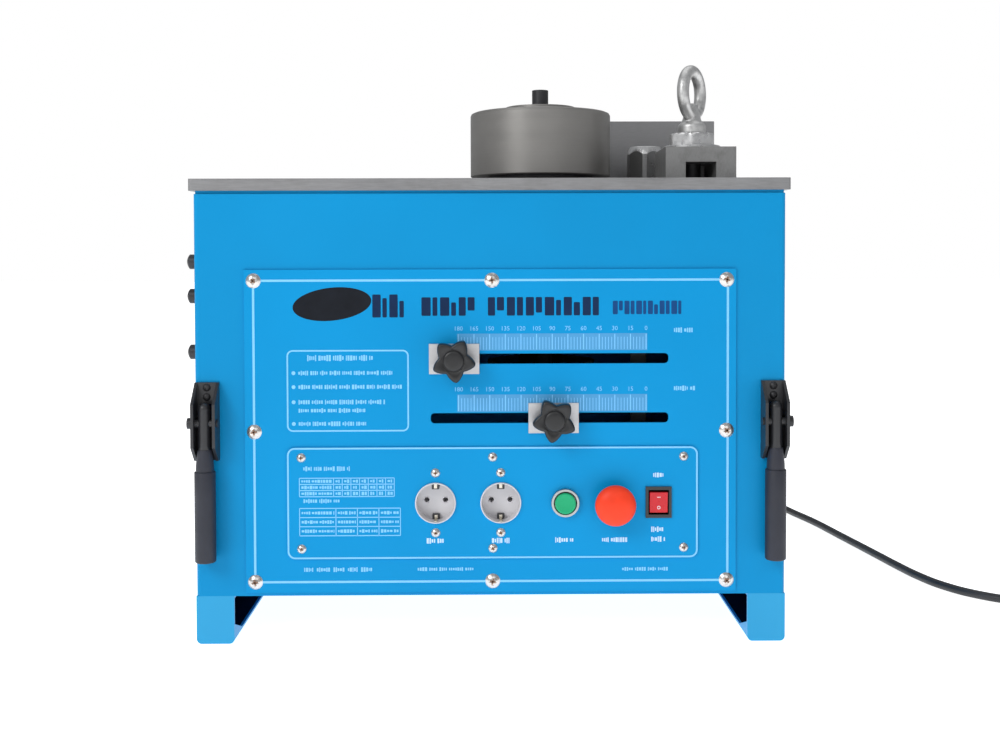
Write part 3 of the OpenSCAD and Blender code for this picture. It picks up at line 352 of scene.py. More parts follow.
NODE_LOOKS = {
    "blue": ["body_shell", "rear_cover", "base_pan"],
    "panel": ["front_panel", "electrical_plate"],
    "foot": ["foot_rails"],
    "table": ["top_plate"],
    "drum": ["centre_former", "former_washer"],
    "roller": ["bending_roller", "roller_pin"],
    "cam": ["stop_cam"],
    "fence": ["fence_block"],
    "block": ["bridge_block"],
    "black_paint": ["bending_arm", "handle_brackets"] + ["lever_" + s for s in (
        "front_left", "front_right", "rear_left", "rear_right")],
    "black_oxide": ["former_bolt", "cam_bolt", "table_screws", "side_bolts", "handle_fasteners"],
    "screw": ["panel_screws", "plate_screws"],
    "zinc": ["clamp_bolt", "eye_bolt"],
    "socket": ["sockets"],
    "bezel": ["start_bezel"],
    "green": ["start_button"],
    "red": ["stop_button"],
    "rocker": ["rocker_key"],
    "black_plastic": ["stop_collar", "rocker_frame", "cable_gland"],
    "slider": ["slider_upper", "slider_lower"],
    "steel_dark": ["main_gear", "layshaft", "motor_pinion", "main_spindle"],
    "bronze": ["bearings", "trip_gear", "trip_idler"],
    "primer": ["gear_frame", "rack_rail", "trip_rack"],
    "motor": ["gear_motor"],
    "control": ["contactor"],
}
for look, members in NODE_LOOKS.items():
    for name in members:
        mesh = nodes[name].data
        mesh.materials.clear()
        mesh.materials.append(mats[look])


# the top bevel of the cam, painted bright as a painted highlight where its faces turn up to the light
cam = nodes["stop_cam"].data
cam.materials.append(mats["cam_bevel_painted_highlight"])
for face in cam.polygons:
    if 0.3 < face.normal.z < 0.97:
        face.material_index = 1

# the inside of the foot rails, painted near-black navy as painted shade
foot = nodes["foot_rails"].data
foot.materials.append(mats["foot_inside_painted_shade"])
for face in foot.polygons:
    at = face.center
    if 0.2615 < abs(at.x) < 0.2945 and -0.2575 < at.y < 0.261 and 0.0025 < at.z < 0.046:
        face.material_index = 1


# ---- Edges of the CAD pieces that show ----

def soften(name, width):
    """Joins the node's flat triangles, then rounds its hard edges by width mm."""
    o = nodes[name]
    weld = o.modifiers.new("weld", "WELD")
    weld.merge_threshold = 0.00001
    flat = o.modifiers.new("flat", "DECIMATE")
    flat.decimate_type = "DISSOLVE"
    flat.angle_limit = math.radians(0.5)
    bevel = o.modifiers.new("bevel", "BEVEL")
    bevel.width = width * MM
    bevel.segments = 2
    bevel.limit_method = "ANGLE"
    bevel.angle_limit = math.radians(38)
    bevel.miter_outer = "MITER_ARC"
    shade = o.modifiers.new("shade", "WEIGHTED_NORMAL")
    shade.keep_sharp = False


ROUNDED = {
    0.5: ["body_shell", "rear_cover", "front_panel", "slider_upper", "slider_lower", "bridge_block",
          "sockets", "stop_collar", "rocker_frame", "bending_arm"],
    0.3: ["electrical_plate", "former_bolt", "former_washer", "start_bezel"],
    0.8: ["top_plate", "fence_block", "foot_rails", "handle_brackets", "stop_cam", "roller_pin"],
}
for width, members in ROUNDED.items():
    for name in members:
        soften(name, width)


# ---- Making pieces ----

def piece(name, mesh, look, body, smooth):
    """Puts a mesh into the scene as a piece that rides on a body."""
    mesh.materials.clear()
    mesh.materials.append(mats[look])
    for face in mesh.polygons:
        face.use_smooth = smooth
    made = bpy.data.objects.new(name, mesh)
    scene.collection.objects.link(made)
    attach(made, body)
    return made


def from_bmesh(bm, name, look, body="base", smooth=True):
    """Turns a finished bmesh into a piece."""
    bmesh.ops.recalc_face_normals(bm, faces=bm.faces)
    mesh = bpy.data.meshes.new(name)
    bm.to_mesh(mesh)
    bm.free()
    return piece(name, mesh, look, body, smooth)


def add_prism(bm, outline, back, front):
    """Adds an outline in X and Z, given in mm, from the plane Y = back to the plane Y = front."""
    low = [bm.verts.new(mm(x, back, z)) for x, z in outline]
    high = [bm.verts.new(mm(x, front, z)) for x, z in outline]
    n = len(outline)
    bm.faces.new(low)
    bm.faces.new(high[::-1])
    for i in range(n):
        bm.faces.new((low[i], high[i], high[(i + 1) % n], low[(i + 1) % n]))


def rect(x0, z0, x1, z1):
    """The four corners of an upright rectangle."""
    return [(x0, z0), (x1, z0), (x1, z1), (x0, z1)]


def rounded(x0, z0, x1, z1, r, steps=6):
    """A rectangle with round corners of radius r."""
    corners = (
        (x1 - r, z1 - r, 0), (x0 + r, z1 - r, 90),
        (x0 + r, z0 + r, 180), (x1 - r, z0 + r, 270))
    found = []
    for cx, cz, start in corners:
        for i in range(steps + 1):
            a = math.radians(start + 90 * i / steps)
            found.append((cx + r * math.cos(a), cz + r * math.sin(a)))
    return found


def circle(x, z, r, count):
    """Points round a circle."""
    turns = [2 * math.pi * i / count for i in range(count)]
    return [(x + r * math.cos(a), z + r * math.sin(a)) for a in turns]


def join_rings(bm, a, b):
    """Closes the gap between two closed rings of the same number of points."""
    for i in range(len(a)):
        j = (i + 1) % len(a)
        bm.faces.new((a[i], a[j], b[j], b[i]))


def add_band(bm, outer, inner, back, front):
    """Adds the band between two outlines of the same number of points."""
    rings = [[bm.verts.new(mm(x, y, z)) for x, z in line]
             for y, line in ((back, outer), (front, outer), (front, inner), (back, inner))]
    for k in range(4):
        join_rings(bm, rings[k], rings[(k + 1) % 4])


def add_frame(bm, x0, z0, x1, z1, r, line, back, front):
    """Adds a printed frame with round corners, its line as wide as line."""
    inner = rounded(x0 + line, z0 + line, x1 - line, z1 - line, max(0.2, r - line))
    add_band(bm, rounded(x0, z0, x1, z1, r), inner, back, front)


def lathe(bm, profile, centre, axis, sides, sign=1):
    """Adds a turned shape.

    The profile is [(radius, distance along the axis)]. A radius of 0 closes an end. The axis is y or z,
    and sign=-1 turns the distances round.
    """
    def place(r, d, a):
        u, v = r * math.cos(a), r * math.sin(a)
        if axis == "y":
            return Vector((centre[0] + u, centre[1] + sign * d, centre[2] + v)) * MM
        return Vector((centre[0] + u, centre[1] + v, centre[2] + sign * d)) * MM

    rings = []
    for r, d in profile:
        if r < 1e-6:
            rings.append([bm.verts.new(place(0, d, 0))])
        else:
            rings.append([bm.verts.new(place(r, d, 2 * math.pi * k / sides)) for k in range(sides)])
    for a, b in zip(rings, rings[1:]):
        for k in range(sides):
            j = (k + 1) % sides
            corners = [a[k % len(a)], a[j % len(a)], b[j % len(b)], b[k % len(b)]]
            corners = [v for i, v in enumerate(corners) if v not in corners[:i]]
            if len(corners) > 2:
                bm.faces.new(corners)


def sharp_shading(o, angle):
    """Shades smooth, but keeps edges that are sharper than the angle, given in degrees."""
    mesh = o.data
    bm = bmesh.new()
    bm.from_mesh(mesh)
    limit = math.radians(angle)
    for e in bm.edges:
        e.smooth = len(e.link_faces) == 2 and e.calc_face_angle(0) < limit
    bm.to_mesh(mesh)
    bm.free()


# ---- Print on the panel ----

WORD_GAP = 0.65      # between the blocks of a line of print


def words(bm, x0, x1, z, h, seed, back, space=1.6, low=0.9, high=2.3):
    """A row of small plain blocks of mixed width and height that stands for a line of print."""
    x, k, since = x0, seed, 0
    while x < x1 - 0.8:
        k = (k * 1103515245 + 12345) % 2147483648
        w = min(low + (high - low) * ((k >> 7) % 100) / 100, x1 - x)
        up = h * (1.0, 0.72, 0.86, 0.6)[(k >> 9) % 4] / 2
        add_prism(bm, rect(x, z - up, x + w, z + up), back, back - INK)
        x += w + WORD_GAP
        since += 1
        if since > 3 + (k >> 17) % 4:
            x += space
            since = 0


pale = bmesh.new()
add_frame(pale, -238.2, 61.8, 239.2, 367.2, 1.2, 2.2, PANEL, PANEL - INK)
add_frame(pale, -204.2, 214.6, -82.0, 296.6, 6, 1.5, PANEL, PANEL - INK)

# the box of notes: its heading, then its lines with their bullets
words(pale, -183.5, -117.5, 288.5, 6.0, 5, PANEL)
NOTE_LINES = ((273.5, -98.5), (259.5, -88.5), (244.3, -106.0), (235.8, -125.0), (222.5, -125.0))
NO_BULLET = 3
for k, (z, x1) in enumerate(NOTE_LINES):
    words(pale, -192.5, x1, z, 4.6, 11 + 7 * k, PANEL)
    if k != NO_BULLET:
        add_prism(pale, rounded(-199.3, z - 1.9, -195.5, z + 1.9, 1.8, 4), PANEL, PANEL - INK)

# the two angle scales: 12 steps of 15 degrees, each of 5 ticks
SCALE_LEFT, SCALE_STEP = -32.3, 15.69
STEPS, TICKS = 12, 5
band = bmesh.new()
for base_z, top_z in ((295.5, 312.5), (233.9, 251.3)):
    right = SCALE_LEFT + STEPS * SCALE_STEP
    add_prism(band, rect(SCALE_LEFT - 1.2, base_z, right + 1.2, top_z), PANEL, PANEL - INK / 2)
    for i in range(STEPS * TICKS + 1):
        x = SCALE_LEFT + SCALE_STEP * i / TICKS
        reach, half = (0.6, 0.44) if i % TICKS == 0 else (3.6, 0.28)
        tick = rect(x - half, base_z + 0.9, x + half, top_z - reach)
        add_prism(pale, tick, PANEL - INK / 2, PANEL - INK)
from_bmesh(band, "scale_bands", "band_ink", smooth=False)
# a word beside each scale, and three along the bottom
words(pale, 184.0, 204.0, 315.5, 5.2, 3, PANEL)
words(pale, 184.0, 206.0, 257.0, 5.2, 9, PANEL)
words(pale, -188.0, -118.0, 75.3, 4.6, 23, PANEL, 3.0)
words(pale, -74.0, -16.0, 75.3, 3.6, 29, PANEL)
words(pale, 132.0, 178.0, 74.5, 3.6, 31, PANEL)
from_bmesh(pale, "panel_print", "light_ink", smooth=False)

plate_print = bmesh.new()
add_frame(plate_print, -204.2, 86.5, 207.8, 198.5, 7.6, 1.6, PLATE, PLATE - INK)
# two small tables of data, with plain marks for their entries
TABLES = ((-192.0, 149.4, -97.0, 168.0, 8, 3), (-192.0, 110.0, -91.0, 137.6, 4, 3))
FIRST_COLUMN = 0.36  # its share of a table's width
for x0, z0, x1, z1, cols, rows in TABLES:
    for i in range(rows + 1):
        z = z0 + (z1 - z0) * i / rows
        add_prism(plate_print, rect(x0, z - 0.45, x1, z + 0.45), PLATE, PLATE - INK)
    widths = [0.0, FIRST_COLUMN] + [FIRST_COLUMN + 0.64 * (c + 1) / (cols - 1) for c in range(cols - 1)]
    for w in widths:
        x = x0 + (x1 - x0) * w
        add_prism(plate_print, rect(x - 0.4, z0, x + 0.4, z1), PLATE, PLATE - INK)
    for i in range(rows):
        z = z0 + (z1 - z0) * (i + 0.5) / rows
        for c in range(len(widths) - 1):
            a = x0 + (x1 - x0) * widths[c] + 2.0
            b = x0 + (x1 - x0) * widths[c + 1] - 1.6
            words(plate_print, a, b, z, 3.4, 41 + 13 * i + 5 * c, PLATE, 1.0, 1.4, 2.8)
words(plate_print, -188.0, -141.0, 177.5, 4.8, 51, PLATE)
words(plate_print, -188.0, -152.0, 145.0, 4.4, 53, PLATE)
from_bmesh(plate_print, "plate_print", "light_ink", smooth=False)
labels = bmesh.new()
LABELS = (           # middle, width, height on the panel and seed of each label
    (-55.7, 18, 104.3, 61), (9.8, 18, 104.3, 63), (74.0, 19, 104.6, 65), (125.0, 27, 104.6, 67),
    (ROCKER_X, 10.5, 169.8, 69), (ROCKER_X, 14.5, 115.0, 71), (ROCKER_X, 14.5, 105.0, 73))
for x, w, z, seed in LABELS:
    words(labels, x - w / 2, x + w / 2, z, 5.4, seed, PLATE)
from_bmesh(labels, "control_labels", "label_ink", smooth=False)

# the heading: plain dark blocks in place of the maker's and the model's names
title = bmesh.new()
tilt = math.radians(6)
oval = []
for u, w in circle(0.0, 0.0, 1.0, 60):
    u, w = 39.5 * u, 16.5 * w
    x = -158.5 + u * math.cos(tilt) - w * math.sin(tilt)
    z = 342.5 + u * math.sin(tilt) + w * math.cos(tilt)
    oval.append((x, z))
add_prism(title, oval, PANEL, PANEL - INK)
from_bmesh(title, "panel_emblem", "dark_ink", smooth=False)


def heavy_marks(bm, x0, x1, count, low, high, seed):
    """Bold plain blocks, two to each place, instead of the names of maker and model."""
    step, tall = (x1 - x0) / count, high - low
    for i in range(count):
        k = (seed + i) * 2654435761 % 4294967296
        left = x0 + i * step + step * 0.05
        right = x0 + (i + 1) * step - step * 0.1
        wide = right - left
        split = left + wide * (0.5, 0.58, 0.44)[(k >> 6) % 3]
        cut = tall * (0.0, 0.16, 0.28)[(k >> 11) % 3]
        add_prism(bm, rounded(left, low, split, high, 0.9, 2), PANEL, PANEL - INK)
        bottom, top = (low, high - cut) if (k >> 14) % 2 else (low + cut, high)
        add_prism(bm, rounded(split + wide * 0.12, bottom, right, top, 0.9, 2), PANEL, PANEL - INK)


heading = bmesh.new()
for x0, x1, count, low, high in ((-119.0, -85.0, 2, 329.0, 352.0), (-70.0, -14.0, 3, 330.5, 349.0),
                                 (-3.5, 110.5, 6, 330.5, 349.0)):
    heavy_marks(heading, x0, x1, count, low, high, 3 * count)
from_bmesh(heading, "panel_heading", "navy_ink", smooth=False)
model = bmesh.new()
heavy_marks(model, 122.0, 192.5, 6, 331.5, 345.0, 40)
from_bmesh(model, "panel_heading_end", "pale_navy_ink", smooth=False)


def numbers(name, height, values, x_of, z):
    """Numbers on the angle scale, as a solid mesh a little proud of the panel."""
    parts = []
    for value in values:
        curve = bpy.data.curves.new(name + str(value), "FONT")
        curve.body = str(value)
        curve.size = height * MM * 1.4
        curve.align_x = "CENTER"
        curve.extrude = INK / 2 * MM
        curve.resolution_u = 2
        o = bpy.data.objects.new(curve.name, curve)
        scene.collection.objects.link(o)
        upright = Matrix.Rotation(math.pi / 2, 4, "X")
        o.matrix_world = Matrix.Translation(mm(x_of(value), PANEL - INK / 2, z)) @ upright
        parts.append(o)
    bpy.context.view_layer.update()
    graph = bpy.context.evaluated_depsgraph_get()
    bm = bmesh.new()
    for o in parts:
        mesh = bpy.data.meshes.new_from_object(o.evaluated_get(graph))
        mesh.transform(o.matrix_world)
        bm.from_mesh(mesh)
        bpy.data.meshes.remove(mesh)
    for o in parts:
        curve = o.data
        bpy.data.objects.remove(o)
        bpy.data.curves.remove(curve)
    bmesh.ops.remove_doubles(bm, verts=bm.verts, dist=1e-7)
    from_bmesh(bm, name, "light_ink", smooth=False)


for row, z in (("upper", 315.6), ("lower", 254.6)):
    numbers("scale_numbers_" + row, 4.4, list(range(0, 181, 15)),
            lambda v: SCALE_LEFT + SCALE_STEP * (180 - v) / 15, z)


# ---- Star knobs ----

def star_knob(name, node, body, x, z, lobe):
    """Five soft lobes on a round neck, with a raised ring and a shallow domed cap."""
    def lobed(a):
        phase = (math.degrees(a) - lobe + 36) % 72 - 36
        u = abs(phase) / 36
        point = 1 - math.sqrt(u * u + 0.012) / math.sqrt(1.012)
        return 14.9 + 8.1 * max(0.0, point) ** 1.2

    # distance forward of the neck's back face, then an inset from the lobes or a plain radius
    rows = [
        (0.0, None, 0.0), (0.0, None, 8.0), (0.6, None, 8.2), (8.2, None, 8.4), (8.8, None, 10.0),
        (9.0, 4.2, 0), (9.2, 1.6, 0), (10.2, 0.5, 0), (11.8, 0.0, 0), (16.0, 0.0, 0), (20.6, 0.0, 0),
        (22.0, 0.55, 0), (22.8, 1.5, 0), (23.0, 3.4, 0), (22.7, None, 11.7), (22.2, None, 11.1),
        (22.3, None, 10.5), (23.6, None, 10.0), (24.4, None, 9.2), (24.7, None, 7.6),
        (24.85, None, 4.0), (24.9, None, 0.0)]
    back = -264.6
    sides = 120
    bm = bmesh.new()
    rings = []
    for ahead, inset, r in rows:
        y = back - ahead
        if inset is None and r == 0:
            rings.append([bm.verts.new(mm(x, y, z))])
            continue
        ring = []
        for k in range(sides):
            a = 2 * math.pi * k / sides
            reach = r if inset is None else lobed(a) - inset
            ring.append(bm.verts.new(mm(x + reach * math.cos(a), y, z + reach * math.sin(a))))
        rings.append(ring)
    for a, b in zip(rings, rings[1:]):
        for k in range(sides):
            j = (k + 1) % sides
            if len(a) == 1:
                bm.faces.new((a[0], b[j], b[k]))
            elif len(b) == 1:
                bm.faces.new((a[k], a[j], b[0]))
            else:
                bm.faces.new((a[k], a[j], b[j], b[k]))
    made = from_bmesh(bm, name, "knob", body)
    sharp_shading(made, 55)
    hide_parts(node)


star_knob("star_knob_upper", "knob_upper", "knob_a", -36.5, 287.3, -83)
star_knob("star_knob_lower", "knob_lower", "knob_b", 63.0, 227.6, -98)


# ---- Screw heads: the worn cross in the middle of each ----

# reach and half width of a cross, and the front of its screw's head
LARGE_CROSS = (2.9, 0.85, PANEL - 3.4)
SMALL_CROSS = (1.8, 0.55, PLATE - 2.6)

crosses = bmesh.new()
spots = [(x, z, *LARGE_CROSS) for x in (-237.0, 1.5, 237.0) for z in (63.0, 366.0)]
spots += [(x, 214.5, *LARGE_CROSS) for x in (-237.0, 237.0)]
spots += [(x, z, *SMALL_CROSS) for x in (-190.2, 1.8, 193.8) for z in (96.5, 188.5)]
spots += [(x, z, *SMALL_CROSS) for x in SOCKETS_X for z in (112.3, 172.7)]
for k, (x, z, reach, half, face) in enumerate(spots):
    turn = math.radians(17 + 29 * k)
    for quarter in (0, math.pi / 2):
        c, q = math.cos(turn + quarter), math.sin(turn + quarter)
        bar = [(x + u * c - w * q, z + u * q + w * c) for u, w in rect(-reach, -half, reach, half)]
        add_prism(crosses, bar, face + 0.6, face - 0.12)
from_bmesh(crosses, "screw_crosses", "worn_cross", smooth=False)


# ---- Sockets: earth clips and the ring round each well ----

WELL_FLOOR = -247.6
LIP = [(19.35, 0.0), (19.35, 0.5), (19.8, 0.8), (20.3, 0.5), (20.45, 0.0)]
PIN_HOLE = [(2.6, 0.0), (2.6, 0.35), (3.3, 0.35), (3.6, 0.0)]


def either_side(middle, up, near, far):
    """The lower and the upper of two heights that lie up or down from the middle."""
    return sorted((middle + up * near, middle + up * far))


for k, x in enumerate(SOCKETS_X):
    clips = bmesh.new()
    notches = bmesh.new()
    for up, reach in ((-1, -252.0), (1, -262.6)):
        for y0, y1, z0, z1 in ((-264.2, reach, 18.3, 18.9), (reach - 0.5, reach, 14.6, 18.6)):
            z_low, z_high = either_side(CONTROLS_Z, up, z0, z1)
            add_prism(clips, rect(x - 1.5, z_low, x + 1.5, z_high), y1, y0)
        z_low, z_high = either_side(CONTROLS_Z, up, 13.6, 18.7)
        add_prism(notches, rounded(x - 3.8, z_low, x + 3.8, z_high, 0.6, 2), WELL_FLOOR, reach)
    from_bmesh(clips, f"earth_clips_{k}", "clip", smooth=False)
    lip = bmesh.new()
    lathe(lip, LIP, (x, -265.2, CONTROLS_Z), "y", 64, -1)
    from_bmesh(lip, f"socket_lip_{k}", "socket")
    from_bmesh(notches, f"socket_notches_{k}", "black_plastic", smooth=False)
    holes = bmesh.new()
    for side in PIN_OFFSETS:
        lathe(holes, PIN_HOLE, (x + side, WELL_FLOOR - 0.1, CONTROLS_Z), "y", 24, -1)
    from_bmesh(holes, f"pin_hole_rims_{k}", "socket")


# ---- Buttons and rocker ----

STOP_AT = (STOP_X, -271.0, CONTROLS_Z)
cap = bmesh.new()
dome = [
    (7.6, 0.0), (9.4, 0.0), (9.5, 0.4), (9.5, 6.2), (10.4, 6.8), (18.6, 7.2), (19.8, 7.7), (20.3, 8.8),
    (20.3, 10.6), (19.9, 12.4), (18.6, 14.4), (16.4, 16.3), (13.4, 18.0), (9.8, 19.4), (5.4, 20.2),
    (2.4, 20.4), (0.0, 20.45)]
lathe(cap, dome, STOP_AT, "y", 72, -1)
cap_piece = from_bmesh(cap, "stop_cap", "red", "stop")
stem = bmesh.new()
lathe(stem, [(7.9, -33.5), (7.9, 0.2)], STOP_AT, "y", 40, -1)
from_bmesh(stem, "stop_stem", "black_plastic", "stop")
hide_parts("stop_button")

ring = bmesh.new()
bezel = [
    (10.8, 4.6), (10.8, 1.9), (11.0, 1.5), (11.6, 1.3), (12.0, 0.9), (12.3, 0.3), (12.9, 0.0),
    (13.6, 0.1), (14.1, 0.7), (14.2, 1.6), (14.2, 5.0)]
lathe(ring, bezel, (START_X, -268.5, CONTROLS_Z), "y", 72)
from_bmesh(ring, "start_ring", "bezel")
push = bmesh.new()
face_of_push = [
    (10.4, 3.8), (10.4, 0.9), (10.1, 0.35), (9.5, 0.05), (8.6, 0.1), (7.0, 0.35), (3.6, 0.5), (0.0, 0.55)]
lathe(push, face_of_push, (START_X, -271.0, CONTROLS_Z), "y", 64)
start_push = from_bmesh(push, "start_push", "green", "start")
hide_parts("start_button")

# the rocker's key seen from the side: its face leans and is a little hollow
key_shape = [(-262.4, 10.2)]
for dz in (10.4, 9.0, 6.5, 3.0, 0.0, -3.0, -6.5, -9.0, -10.4):
    key_shape.append((-266.7 - 0.1 * dz + 0.55 * (1 - (dz / 10.6) ** 2), dz))
key_shape.append((-262.4, -10.2))
key = bmesh.new()
left, right = [
    [key.verts.new(mm(ROCKER_X + out, y, CONTROLS_Z + dz)) for y, dz in key_shape] for out in (-9, 9)]
key.faces.new(left)
key.faces.new(right[::-1])
for i in range(len(key_shape)):
    j = (i + 1) % len(key_shape)
    key.faces.new((left[i], right[i], right[j], left[j]))
key_piece = from_bmesh(key, "rocker_cap", "rocker", "rocker", smooth=False)
round_key = key_piece.modifiers.new("bevel", "BEVEL")
round_key.width = 0.5 * MM
round_key.segments = 3
round_key.limit_method = "ANGLE"
round_key.angle_limit = math.radians(30)
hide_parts("rocker_key")

marks = bmesh.new()
add_band(marks, circle(ROCKER_X, 137.4, 1.7, 24), circle(ROCKER_X, 137.4, 1.1, 24), -264.8, -266.0)
add_prism(marks, rect(166.6, 147.6, 170.0, 148.3), -266.0, -266.95)
from_bmesh(marks, "rocker_marks", "white_ink", "rocker", smooth=False)


# ---- Handles: grips with a drawn-in neck ----

def grip(name, node, body, x, y):
    """An upright round grip with its neck at the top, as it hangs at rest."""
    profile = [
        (6.3, 199.0), (6.8, 198.9), (7.2, 197.4), (7.75, 192.0), (8.35, 187.6), (8.75, 183.6),
        (8.9, 180.2), (8.9, 177.4), (9.1, 177.2), (9.8, 177.15), (10.2, 176.9), (10.4, 176.4),
        (10.4, 150.0), (10.4, 120.0), (10.4, 88.4), (10.2, 87.5), (9.6, 86.9), (8.6, 86.6), (0.0, 86.6)]
    bm = bmesh.new()
    lathe(bm, profile, (x, y, 0), "z", 56)
    made = from_bmesh(bm, name, "grip", body)
    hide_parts(node)
    sharp_shading(made, 40)


for end, y in (("front", -273.5), ("rear", 276.5)):
    for side, x in (("left", -284.0), ("right", 284.0)):
        grip(f"handle_grip_{end}_{side}", f"grip_{end}_{side}", f"handle_{end}_{side}", x, y)


# ---- Eye bolt: one forged piece, its fillets made by a fine remesh ----

def hex_nut(bm, centre, flats, low, high, turn, chamfer):
    """A hexagon whose top corners are cut by a cone."""
    sides = 96
    corner = flats / 2 / math.cos(math.pi / 6)
    levels = (  # height, and the largest radius that the cone leaves there
        (low, corner), (high - chamfer, corner),
        (high - chamfer * 0.5, corner - chamfer * 0.75), (high, flats / 2 - 0.4))
    rings = []
    for z, limit in levels:
        ring = []
        for k in range(sides):
            a = 2 * math.pi * k / sides
            phase = (a - turn + math.pi / 6) % (math.pi / 3) - math.pi / 6
            r = min(flats / 2 / math.cos(math.pi / 6 - abs(phase)), limit)
            ring.append(bm.verts.new(mm(centre[0] + r * math.cos(a), centre[1] + r * math.sin(a), z)))
        rings.append(ring)
    for a, b in zip(rings, rings[1:]):
        join_rings(bm, a, b)
    bm.faces.new(rings[0])
    bm.faces.new(rings[-1])


HEAD_TOP = 526.2     # top of the clamp bolt's head, where the eye bolt is seated
EYE_TURN = 58        # degrees that the ring is turned from facing along Y


def clamp_bolt():
    """The flanged head, the stud and the nut in the tunnel. The stud is made dark as painted shade of the
    tunnel.
    """
    flange = [
        (0, 508.72), (30.6, 508.72), (31.6, 509.0), (32.0, 509.7), (32.0, 511.2), (31.4, 512.2),
        (29.8, 512.7), (0, 512.7)]
    head = bmesh.new()
    lathe(head, flange, (*CLAMP, 0), "z", 96)
    hex_nut(head, CLAMP, 48, 512.6, HEAD_TOP, math.radians(24), 2.6)
    made = from_bmesh(head, "clamp_head", "zinc")
    sharp_shading(made, 24)
    stud = bmesh.new()
    # the stud gets black oxide, not the head's zinc: painted shade of the dark tunnel round it
    lathe(stud, [(0, 456), (9.6, 456), (10.0, 456.6), (10.0, 508.8), (0, 508.8)], (*CLAMP, 0), "z", 48)
    painted_shade_shank = from_bmesh(stud, "clamp_stud_painted_shade", "black_oxide")
    sharp_shading(painted_shade_shank, 40)
    nut = bmesh.new()
    hex_nut(nut, CLAMP, 23.0, 468.0, 476.0, math.radians(10), 1.6)
    sharp_shading(from_bmesh(nut, "clamp_nut", "zinc"), 24)
    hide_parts("clamp_bolt")


clamp_bolt()


def eye_bolt():
    """A collar and neck that run into a ring, melted together by the remesh."""
    bx, by = CLAMP
    neck = [
        (0, 0.0), (15.6, 0.0), (15.6, 8.4), (14.8, 10.6), (12.6, 12.2), (10.8, 15.0), (9.6, 19.0),
        (8.8, 24.0), (7.6, 29.0), (6.2, 32.6), (3.6, 34.2), (0, 34.6)]
    bm = bmesh.new()
    lathe(bm, neck, (bx, by, HEAD_TOP), "z", 64)
    turn = math.radians(EYE_TURN)
    ring_z, ring_r, wire_r = 571.5, 25.0, 6.8
    ring_steps, wire_steps = 96, 28
    rings = []
    for i in range(ring_steps):
        a = 2 * math.pi * i / ring_steps
        ring = []
        for j in range(wire_steps):
            b = 2 * math.pi * j / wire_steps
            out = ring_r + wire_r * math.cos(b)
            side = wire_r * math.sin(b)
            u, w = out * math.cos(a), out * math.sin(a)
            x = bx + u * math.cos(turn) - side * math.sin(turn)
            y = by + u * math.sin(turn) + side * math.cos(turn)
            ring.append(bm.verts.new(mm(x, y, ring_z + w)))
        rings.append(ring)
    for i in range(ring_steps):
        for j in range(wire_steps):
            a, b = rings[i], rings[(i + 1) % ring_steps]
            k = (j + 1) % wire_steps
            bm.faces.new((a[j], b[j], b[k], a[k]))
    made = from_bmesh(bm, "eye_bolt_forging", "forged")
    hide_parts("eye_bolt")
    remesh = made.modifiers.new("remesh", "REMESH")
    remesh.mode = "VOXEL"
    remesh.voxel_size = 1.0 * MM
    remesh.use_smooth_shade = True
    smooth = made.modifiers.new("smooth", "SMOOTH")
    smooth.factor = 0.5
    smooth.iterations = 6


eye_bolt()


# ---- Rear vents: a pressed hood over each slot ----

REAR = 263.0         # outer face of the rear cover
HOOD_OUT = 4.0
curve_out = [(y, 6.8 - 6.8 * (y / HOOD_OUT) ** 1.6) for y in (0.0, 1.2, 2.4, 3.3, HOOD_OUT)]
run_out = ((0, 0.0), (2, 0.55), (5, 0.9), (9, 1.0))   # distance from an end, share of the full depth


def add_hood(bm, x0, x1, z):
    """One hood, open below, with ends that run out into the cover."""
    stations = [(x0 + d, f) for d, f in run_out] + [(x1 - d, f) for d, f in run_out[::-1]]
    bottom = z - 0.6
    grid, inner = [], []
    for x, f in stations:
        grid.append([bm.verts.new(mm(x, REAR + y * f + 0.02, bottom + h)) for y, h in curve_out])
    for x, f in stations:
        line = [(REAR + max(0.0, y * f - 0.9) + 0.01, bottom + h - 0.25) for y, h in curve_out]
        inner.append([bm.verts.new(mm(x, y, height)) for y, height in line])
    last = len(curve_out) - 1
    for i in range(len(stations) - 1):
        for j in range(last):
            bm.faces.new((grid[i][j], grid[i + 1][j], grid[i + 1][j + 1], grid[i][j + 1]))
            bm.faces.new((inner[i][j], inner[i][j + 1], inner[i + 1][j + 1], inner[i + 1][j]))
        bm.faces.new((grid[i][last], grid[i + 1][last], inner[i + 1][last], inner[i][last]))
        bm.faces.new((grid[i][0], inner[i][0], inner[i + 1][0], grid[i + 1][0]))
    for i in (0, len(stations) - 1):
        for j in range(last):
            bm.faces.new((grid[i][j], grid[i][j + 1], inner[i][j + 1], inner[i][j]))


hoods = bmesh.new()
for middle in (-145.0, 65.0):
    for row in range(8):
        add_hood(hoods, middle - 45, middle + 45, 290.0 + 14 * row)
from_bmesh(hoods, "vent_hoods", "blue")


# ---- Power lead: cord, sleeve ribs and plug ----

route = LEAD + coil_points() + TAIL
curve = bpy.data.curves.new("lead", "CURVE")
curve.dimensions = "3D"
spline = curve.splines.new("BEZIER")
spline.bezier_points.add(len(route) - 1)
for point, place in zip(spline.bezier_points, route):
    point.co = Vector(place) * MM
    point.handle_left_type = point.handle_right_type = "AUTO"
spline.resolution_u = 6
curve.bevel_depth = CORD_D / 2 * MM
curve.bevel_resolution = 5
curve.use_fill_caps = True
curve.materials.append(mats["rubber"])
lead = bpy.data.objects.new("lead", curve)
scene.collection.objects.link(lead)
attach(lead, "base")
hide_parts("power_cord", "cord_coil")

